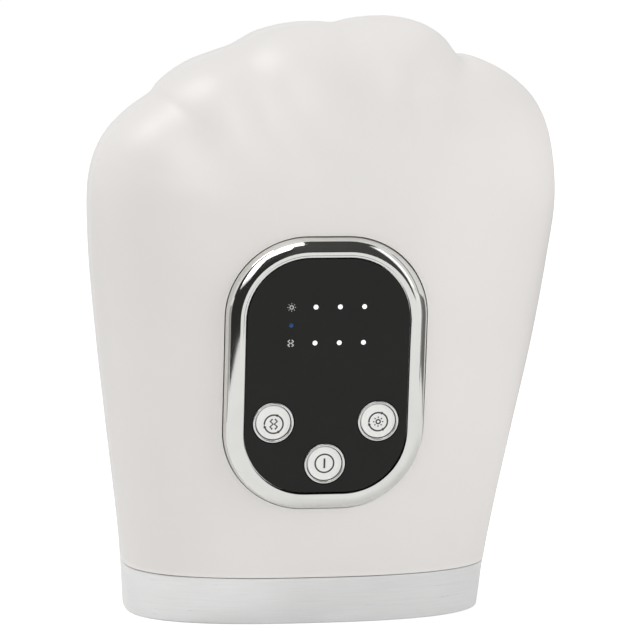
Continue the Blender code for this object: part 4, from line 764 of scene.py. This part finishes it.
buttonSizes = millimetres(
    {"broadFace": 2e-5}, ringRadius=6.9, ringBand=0.8, ringProud=0.3, ringDepth=2.6, capSunk=0.5,
    capThick=1.8, capEdge=0.22, dishRim=0.5, dishSlope=0.35, dish=0.26, stem=2.2, stemShort=1.2, fit=0.3)
buttonPlaces = {side: acrossPanel(f"button_cap_{side}") for side in ("left", "right", "bottom")}


def buildPanelWindow():
    front, back = -panel["lensRecess"], -panel["lensRecess"] - panel["lensThick"]
    window = outlinedPlate("panelWindow", panelOutline(panel["band"] + panel["gap"]), back, front)
    roundRim(window, front, panel["lensEdge"], 3)
    for x, y in buttonPlaces.values():
        hole = pillar(buttonSizes["ringRadius"] + buttonSizes["fit"], -overrun, overrun, 72)
        carve(window, setInPlace(hole, at(x, y, 0)))
    settle(setInPlace(window, onPanel(0, 0)), "lensGloss", node="panel_lens")
    return flatFaces(window, panel["broadFace"])


# buttons

def turnedRing(name, profile, steps=72):  # profile of (radius, height) pairs, closed on itself
    turns = [2 * pi * step / steps for step in range(steps)]
    return sweptLoop(name, [[Vector((radius * cos(turn), radius * sin(turn), z)) for turn in turns]
                            for radius, z in profile])


def buildButtonRing(side):
    outer, band = buttonSizes["ringRadius"], buttonSizes["ringBand"]
    front = -panel["lensRecess"] + buttonSizes["ringProud"]
    back = -panel["lensRecess"] - panel["lensThick"] - buttonSizes["ringDepth"]
    crown = [(outer - band / 2 + x, front - band / 3 + z * 2 / 3) for x, z in arcPoints(band / 2, 0, 180, 8)]
    ring = turnedRing("buttonRing" + side.capitalize(), [(outer, back)] + crown + [(outer - band, back)])
    setInPlace(ring, onPanel(*buttonPlaces[side]))
    return settle(ring, "ringSilver", node=f"button_ring_{side}")


def buildCap(side):  # returns the height of its dished face
    sizes = buttonSizes
    radius = sizes["ringRadius"] - sizes["ringBand"] - sizes["fit"]
    front = -panel["lensRecess"] + sizes["ringProud"] - sizes["capSunk"]
    low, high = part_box(f"button_cap_{side}")
    cap = pillar(radius, front - sizes["capThick"], front, 72, "cap" + side.capitalize())

    def dish():
        bpy.ops.mesh.inset(thickness=sizes["dishRim"], depth=0)
        bpy.ops.mesh.inset(thickness=sizes["dishSlope"], depth=-sizes["dish"])
    workOnSome(cap, "FACE", lambda face: face.normal.z > 0.9, dish)

    def stem():
        bpy.ops.mesh.inset(thickness=radius - sizes["stem"])
        drop = sizes["capThick"] + sizes["stemShort"] - (high.y - low.y)
        bpy.ops.mesh.extrude_region_move(TRANSFORM_OT_translate={"value": (0, 0, drop)})
    workOnSome(cap, "FACE", lambda face: face.normal.z < -0.9, stem)
    roundRim(cap, front, sizes["capEdge"])
    setInPlace(cap, onPanel(*buttonPlaces[side]))
    settle(cap, "capPlastic", f"{side}_button", f"button_cap_{side}", degrees=28)
    flatFaces(cap, sizes["broadFace"])
    return front - sizes["dish"]


# printed signs, as thin films of ink

ink = millimetres({"arrows": [(183, 72), (58, -56), (-70, -158)]}, thick=0.05, line=0.50, dial=3.15,
                  head=0.75, stroke=1.7, strokeWidth=0.6)


def inkStroke(points, width, closed=False):  # a flat line of ink in the XY plane
    count = len(points)

    def place(column, row):
        here = Vector(points[column % count])
        before = Vector(points[(column - 1) % count]) if closed or column > 0 else here
        after = Vector(points[(column + 1) % count]) if closed or column < count - 1 else here
        run = (after - before).normalized()
        spot = here + Vector((-run.y, run.x)) * width * (row - 0.5)
        return Vector((spot.x, spot.y, 0))
    stroke = formedGrid("stroke", count if closed else count - 1, 1, place, 1e-7)
    return useModifier(stroke, "SOLIDIFY", thickness=ink["thick"], offset=0.0)


def ringOfInk(radius, width):
    return inkStroke(arcPoints(radius, 0, 360, 48)[:-1], width, True)


def arrowArcs():  # three arcs of a circle that end in arrowheads
    made = []
    for start, end in ink["arrows"]:
        made.append(inkStroke(arcPoints(ink["dial"], start, end), ink["line"]))
        tip = Vector((cos(radians(end)), sin(radians(end))))
        base, half = tip * ink["dial"], tip * ink["head"] * 0.75
        ahead = Vector((tip.y, -tip.x)) * ink["head"] * 1.3
        corners = [base + half, base + ahead, base - half]
        made.append(outlinedPlate("arrowHead", corners, -ink["thick"] / 2, ink["thick"] / 2))
    return made


def sunSign(scale, width, rayWidth):  # a small ring with eight rays
    made = [ringOfInk(0.85 * scale, width)]
    for angle in range(0, 360, 45):
        ray = [arcPoints(reach * scale, angle, angle, 1)[0] for reach in (1.55, 2.15)]
        made.append(inkStroke(ray, rayWidth))
    return made


def airSign(wide, tall, width):  # two bent threads that lean on one waist
    bends = [(0.34, 1.0), (0.96, 0.54), (0.16, 0.03), (1.0, -0.52), (0.36, -1.0)]
    return [inkStroke([(way * wide * x, tall * z) for x, z in bends], width) for way in (-1, 1)]


def uprightSign():  # a circle with an upright stroke
    reach = ink["stroke"]
    return [ringOfInk(ink["dial"], ink["line"]), inkStroke([(0, reach), (0, -reach)], ink["strokeWidth"])]


def placeSign(name, parts, finish, x, y, height, body="housing"):
    sign = setInPlace(joinAll(parts, name), onPanel(x, y, -height))
    return settle(closeSeams(sign, 1e-8), finish, body, degrees=0)


# what is printed on each cap, and how far it is set off the middle
capSigns = {"left": (lambda: arrowArcs() + airSign(1.24 * mm, 1.76 * mm, 0.50 * mm), 0.2 * mm, -0.6 * mm),
            "right": (lambda: arrowArcs() + sunSign(0.82 * mm, 0.44 * mm, 0.38 * mm), 0.1 * mm, -0.35 * mm),
            "bottom": (uprightSign, 0, 0)}


def buildButtons():
    for side, (x, y) in buttonPlaces.items():
        buildButtonRing(side)
        face = buildCap(side)
        drawSign, right, up = capSigns[side]
        height = face + ink["thick"] / 2
        placeSign(side + "Sign", drawSign(), "signInk", x + right, y + up, height, f"{side}_button")


lampSizes = millimetres(
    {"sun": (0.68 * mm, 0.26 * mm, 0.16 * mm), "air": (0.98 * mm, 1.12 * mm, 0.36 * mm)},
    radius=0.82, pitch=8.17, signX=-12.65, upper=23.8, lower=11.55, blueRadius=0.74, sunk=0.2, proud=0.05,
    edge=0.04)


def lampAt(radius, x, y, name="lamp"):
    face = -panel["lensRecess"]
    lamp = pillar(radius, face - lampSizes["sunk"], face + lampSizes["proud"], 32, name)
    roundRim(lamp, face + lampSizes["proud"], lampSizes["edge"], 2)
    return setInPlace(lamp, at(x, y, 0))


def buildLamps():
    upper, lower, signX = lampSizes["upper"], lampSizes["lower"], lampSizes["signX"]
    dots = [lampAt(lampSizes["radius"], signX + place * lampSizes["pitch"], y)
            for y in (upper, lower) for place in (1, 2, 3)]
    settle(setInPlace(joinAll(dots, "whiteLamps"), onPanel(0, 0)), "lampWhite")
    blue = lampAt(lampSizes["blueRadius"], signX, (upper + lower) / 2, "blueLamp")
    settle(setInPlace(blue, onPanel(0, 0)), "lampBlue")
    height = ink["thick"] / 2 - panel["lensRecess"]
    placeSign("sunMark", sunSign(*lampSizes["sun"]), "paleInk", signX, upper, height)
    placeSign("airMark", airSign(*lampSizes["air"]), "paleInk", signX, lower, height)


# feet, screws and charging socket

pin = 0.01 * mm  # a turned piece closes at this radius


def buildFoot(node):  # a soft dome with a shallow ring moulded in its face
    low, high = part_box(node)
    radius, tall, edge, groove = (high.x - low.x) / 2, high.y - low.y, footSizes["edge"], footSizes["groove"]
    ring = radius * footSizes["grooveShare"]
    profile = [(pin, 0), (radius, 0)] + arcPoints(edge, 0, 90, 6, (radius - edge, tall - edge))
    profile += [(ring + 2 * groove, tall), (ring + groove, tall - groove), (ring - groove, tall - groove),
                (ring - 2 * groove, tall), (pin, tall)]
    foot = standBack(turnedRing("foot" + node[-1], profile, 64), node, low.y)
    return settle(foot, "footRubber", node=node)


def buildScrew(node):  # a pan head with a cross drive, and a threaded shank below it
    low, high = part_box(node)
    shank, head, tall, crown = (screwSizes[key] for key in ("shank", "head", "headHeight", "headRound"))
    length, turns = high.y - low.y, screwSizes["turns"]
    profile = [(pin, 0), (shank * 0.5, 0), (shank, screwSizes["tip"])]
    pitch = (length - tall - screwSizes["plain"]) / turns
    for step in range(turns):
        start = screwSizes["threadStart"] + step * pitch
        profile += [(shank - screwSizes["threadDepth"], start + pitch * 0.1), (shank, start + pitch * 0.55)]
    profile += [(shank, length - tall), (head, length - tall)]
    profile += arcPoints(crown, 0, 90, 5, (head - crown, length - crown)) + [(pin, length)]
    screw = turnedRing("screw" + node[-1], profile, 40)
    for angle in (0, 90):
        turn = Matrix.Rotation(radians(angle + screwSizes["crossTurn"]), 4, "Z")
        carve(screw, block("crossSlot", at(0, 0, length) @ turn, screwSizes["cross"]))
    return settle(standBack(screw, node, low.y), "screwSteel", node=node)


def buildSocket():  # a drawn steel shell, a dark tongue and its row of contacts
    width, thick, deep, mouth = socketPlace()
    wall, bore, sliver = socketSizes["wall"], socketSizes["bore"], socketSizes["sliver"]
    shell = outlinedPlate("socketShell", roundedOutline(width, thick, thick / 2 - sliver, 14, 3), -deep, 0)
    inside = roundedOutline(width - 2 * wall, thick - 2 * wall, thick / 2 - wall - sliver, 14, 3)
    carve(shell, outlinedPlate("socketBore", inside, -bore, socketSizes["past"]))
    roundRim(shell, 0, socketSizes["edge"], 2)
    settle(setInPlace(shell, mouth), "screwSteel", node="charge_socket")
    halfWide, halfThick = socketSizes["tongueWidth"] / 2, socketSizes["tongueThick"] / 2
    tip = socketSizes["tongueLength"] - bore
    outline = [(-halfWide, -halfThick), (halfWide, -halfThick), (halfWide, halfThick), (-halfWide, halfThick)]
    tongue = outlinedPlate("socketTongue", outline, -bore - socketSizes["rooted"], tip)
    roundRim(tongue, tip, socketSizes["tongueEdge"], 2)
    settle(setInPlace(tongue, mouth), "innerBlack")
    pitch = socketSizes["tongueWidth"] / (socketSizes["contacts"] + 1)
    contacts = []
    for side in (-1, 1):
        for step in range(socketSizes["contacts"]):
            spot = (pitch * (step + 1) - halfWide, side * halfThick, tip - socketSizes["contactDrop"])
            contacts.append(block("contact", at(*spot), socketSizes["contact"]))
    settle(setInPlace(joinAll(contacts, "socketContacts"), mouth), "contactGold")


# hand liner: one knitted pocket, hemmed in the mouth and gathered at its closed end

liner = millimetres(
    {"clothShare": 0.92, "round": 4.0, "around": 240, "rows": 150, "pleats": 11},
    wall=1, hemLow=1.6, funnelLow=12, funnelTop=45.175, halfWidth=47.5, top=176, topGap=0.4, full=152,
    padGap=0.3, weaveWidth=290, handGap=31, fold=0.45, hemRise=0.35, hemThick=0.55, hemTall=0.9)
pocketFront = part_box("heating_pad")[1].y - partingY + liner["padGap"]
pocketDepth = liner["handGap"] + 2 * liner["wall"]


def pocketSection(z, inset):
    past = max(0.0, z - liner["full"]) / (liner["top"] - liner["full"])
    closing = sqrt(max(0.0, 1 - past ** 2))
    thin = (pocketDepth / 2 - inset) * sqrt(closing)
    half = (liner["halfWidth"] - inset) * closing
    return {"x": spineX(z), "y": pocketFront + pocketDepth / 2, "half": half, "front": thin, "rear": thin,
            "frontRound": liner["round"], "rearRound": liner["round"]}


def linerSection(z):  # the mouth's shape at the hem, which the funnel narrows to the pocket's
    inset = liner["wall"] / 2
    hem, pocket = mouthSection(z, ringSizes["wall"] + mitt["gap"] + inset), pocketSection(z, inset)
    share = min(1.0, max(0.0, (z - liner["funnelLow"]) / (liner["funnelTop"] - liner["funnelLow"])))
    share = share * share * (3 - 2 * share)
    return {key: hem[key] + (pocket[key] - hem[key]) * share for key in hem}


def linerFold(turn, share):  # soft lengthwise folds where the cloth narrows, and small ones at the tip
    narrowing = exp(-((share - 0.17) / 0.10) ** 2)
    tip = exp(-((share - 0.97) / 0.06) ** 2)
    wave = 0.55 * sin(liner["pleats"] * turn + 0.7 * sin(2 * turn)) + 0.45 * sin(19 * turn + 1.3)
    drift = 0.35 * sin(3 * turn + 14 * share) * sin(pi * share)
    return liner["fold"] * ((narrowing + 0.8 * tip) * wave + drift)


def layClothMap(mesh):  # the cloth's UV map in metres: round the pocket, and up it
    unwrap = mesh.uv_layers.new(name="clothUV")
    for face in mesh.polygons:
        spots = [mesh.vertices[mesh.loops[loop].vertex_index].co for loop in face.loop_indices]
        turns = []
        for spot in spots:
            centre = pocketSection(spot.z, 0)
            away = spot.y - partingY - centre["y"] * 0.6, spot.x - centre["x"]
            turns.append(atan2(*away) / (2 * pi))
        for loop, turn, spot in zip(face.loop_indices, turns, spots):
            if turn < max(turns) - 0.5:
                turn += 1
            unwrap.data[loop].uv = (turn * liner["weaveWidth"], spot.z)


def buildHem():  # a bound edge, sewn round the mouth
    inset, height = ringSizes["wall"] + mitt["gap"] + liner["wall"] / 2, liner["hemLow"] + liner["hemRise"]
    turns = [radians(angle) for angle in range(0, 360, 45)]
    profile = [(inset + liner["hemThick"] * cos(turn), height + liner["hemTall"] * sin(turn))
               for turn in turns]
    return settle(sweptMouth("linerHem", profile), "hemTape", degrees=60)


def buildLiner():
    rows, around = liner["rows"], liner["around"]
    reach = liner["top"] - liner["topGap"] - liner["hemLow"]
    heights = [liner["hemLow"] + reach * sin(turn) for turn in evenly(0, pi / 2, rows)]
    sections = [linerSection(z) for z in heights]

    def place(column, row):
        turn = 2 * pi * (column % around) / around
        share = row / rows
        spot = sectionPoint(sections[row], turn, heights[row])
        ahead = sectionPoint(sections[row], turn + 0.02, heights[row])
        side = (ahead - spot).normalized() if (ahead - spot).length > 1e-7 else Vector((0, 1, 0))
        inward = Vector((-side.y, side.x, 0))
        return spot + inward * (abs(linerFold(turn, share)) * min(1.0, share / 0.08))
    cloth = formedGrid("handLiner", around, rows, place, 4e-6)

    def atTip(edge):
        return edge.is_boundary and min(vertex.co.z for vertex in edge.verts) > liner["full"]
    workOnSome(cloth, "EDGE", atTip, bpy.ops.mesh.edge_face_add)
    layClothMap(cloth.data)
    thickness = liner["wall"] * liner["clothShare"]
    useModifier(cloth, "SOLIDIFY", thickness=thickness, offset=0.0, use_even_offset=True)
    print("liner cloth area", round(sum(face.area for face in cloth.data.polygons) / 2, 5))
    settle(cloth, "linerKnit", node="hand_liner", degrees=60)
    buildHem()


def buildFeet():
    for node in footNodes:
        buildFoot(node)


def buildScrews():
    for node in screwNodes:
        buildScrew(node)


for stage, build in (("front casing", buildFrontCasing), ("rear casing", buildRearCasing),
                     ("feet", buildFeet), ("screws", buildScrews),
                     ("charging socket", buildSocket), ("mouth ring", buildMouthRing),
                     ("clamp ring", buildClampRing), ("liner", buildLiner), ("panel frame", buildPanelFrame),
                     ("panel window", buildPanelWindow), ("buttons", buildButtons), ("lamps", buildLamps)):
    build()
    print(stage, "done")


# floor, light and camera

# the camera's focal length, middle and frame are in pixels of the photo, and its sensor in millimetres
view = {"azimuth": -9.925, "elevation": 8.539, "roll": 0.779, "distance": 1.2, "target": (0, 0, 101 * mm),
        "focal": 3477.6, "middle": (321.15, 316.17), "frame": 640, "sensor": 36.0}
studio = {
    "sky": 0.64, "glossSky": 0.82, "floor": 8, "floorGlow": 0.42, "cardTint": (1, 0.985, 0.965, 1),
    "cardSteps": 12,
    "lights": [  # name, place, aim, size, power, and whether its own reflection shows
        ("keyLight", (-1.05, 0.5, 1.6), (0, 0, 0.12), (0.8, 0.8), 12.0, True),
        ("fillLight", (1.4, -0.9, 0.9), (0, 0, 0.1), (1.0, 1.0), 6.0, False),
        ("frontLight", (0.1, -1.6, 0.5), (0, 0, 0.1), (0.9, 0.5), 3.0, False)],
    "cards": [  # name, brightness, distance from the panel, azimuths, heights
        ("darkSide", 0.03, 0.25, (-70, -2), (-16, 13)), ("darkCorner", 0.03, 0.28, (-30, -2), (-9, 34)),
        ("darkFar", 0.03, 0.50, (-84, -52), (8, 60)), ("darkTop", 0.06, 0.45, (-6, 35), (-9, 44)),
        ("darkRoof", 0.06, 0.45, (4, 48), (44, 80)), ("softBox", 2.4, 0.52, (-54, 5), (14, 68)),
        ("softEdge", 1.6, 0.43, (38, 46), (0, 40)), ("darkEdge", 0.2, 0.25, (61, 66), (-16, 40)),
        ("darkEnd", 0.16, 0.34, (66, 150), (-15, 4)), ("greyEnd", 0.4, 0.34, (-150, -72), (-15, 4))],
}


def outwardFrom(azimuth, height):  # azimuth 0 looks from -Y, both in radians
    return Vector((sin(azimuth) * cos(height), -cos(azimuth) * cos(height), sin(height)))


def addToScene(name, data, place):
    thing = bpy.data.objects.new(name, data)
    bpy.context.scene.collection.objects.link(thing)
    thing.matrix_world = place
    return thing


def facing(direction):  # turns local Z into the direction, with local Y upright
    return direction.to_track_quat("Z", "Y").to_matrix().to_4x4()


def buildCamera():
    pixels, middle = view["frame"], view["middle"]
    data = bpy.data.cameras.new("camera")
    data.sensor_width = view["sensor"]
    data.lens = view["focal"] * view["sensor"] / pixels
    data.shift_x = (pixels / 2 - middle[0]) / pixels
    data.shift_y = (middle[1] - pixels / 2) / pixels
    back = outwardFrom(radians(view["azimuth"]), radians(view["elevation"]))
    turn = facing(back) @ Matrix.Rotation(radians(view["roll"]), 4, "Z")
    place = at(*(Vector(view["target"]) + back * view["distance"])) @ turn
    bpy.context.scene.camera = addToScene("camera", data, place)


def softLight(name, place, aim, size, power, shines):
    data = bpy.data.lights.new(name, "AREA")
    data.shape = "RECTANGLE"
    data.size, data.size_y = size
    data.energy = power
    light = addToScene(name, data, at(*place) @ facing(Vector(place) - Vector(aim)))
    light.visible_glossy = shines


def skyCard(name, level, radius, azimuths, heights):  # part of a dome round the panel, for reflections only
    steps = studio["cardSteps"]
    turns, rises = ([radians(angle) for angle in evenly(*span, steps)] for span in (azimuths, heights))
    piece = formedGrid(name, steps, steps, lambda column, row:
                       panelMiddle + radius * outwardFrom(turns[column], rises[row]))
    card, tree, shader = startMaterial(name + "Face", Base_Color=(0, 0, 0, 1), Roughness=1.0,
                                       Specular_IOR_Level=0.0, Emission_Color=studio["cardTint"],
                                       Emission_Strength=level)
    piece.data.materials.append(card)
    for way in ("camera", "diffuse", "transmission", "volume_scatter", "shadow"):
        setattr(piece, "visible_" + way, False)


def buildFloor():  # plain paper that glows to the camera, so that it ends in white but keeps a shadow
    floor = primitive("plane", "floor", size=studio["floor"])
    paper, tree, shader = startMaterial("floorPaper", Base_Color=tone(246, 246, 246), Roughness=0.9,
                                        Specular_IOR_Level=0.0, Emission_Color=(1, 1, 1, 1))
    seen = addNode(tree, "LightPath").outputs["Is Camera Ray"]
    feed(tree, shader, Emission_Strength=betweenValues(tree, seen, 0.0, studio["floorGlow"], 0.0, 1.0))
    floor.data.materials.append(paper)


def buildSky():  # white to the camera and through clear pieces, a little dimmer to shiny ones
    world = bpy.data.worlds.new("studio")
    bpy.context.scene.world = world
    world.use_nodes = True
    tree = world.node_tree
    rays = addNode(tree, "LightPath").outputs
    clear = combined(tree, "MAXIMUM", rays["Is Camera Ray"], rays["Is Transmission Ray"])
    glossy = betweenValues(tree, rays["Is Glossy Ray"], studio["sky"], studio["glossSky"], 0.0, 1.0)
    level = combined(tree, "MAXIMUM", clear, glossy)
    feed(tree, tree.nodes["Background"], Color=(1, 1, 1, 1), Strength=level)


buildFloor()
buildSky()
for light in studio["lights"]:
    softLight(*light)
for card in studio["cards"]:
    skyCard(*card)
buildCamera()
bpy.context.scene.view_settings.view_transform = "Standard"
print("stage done")
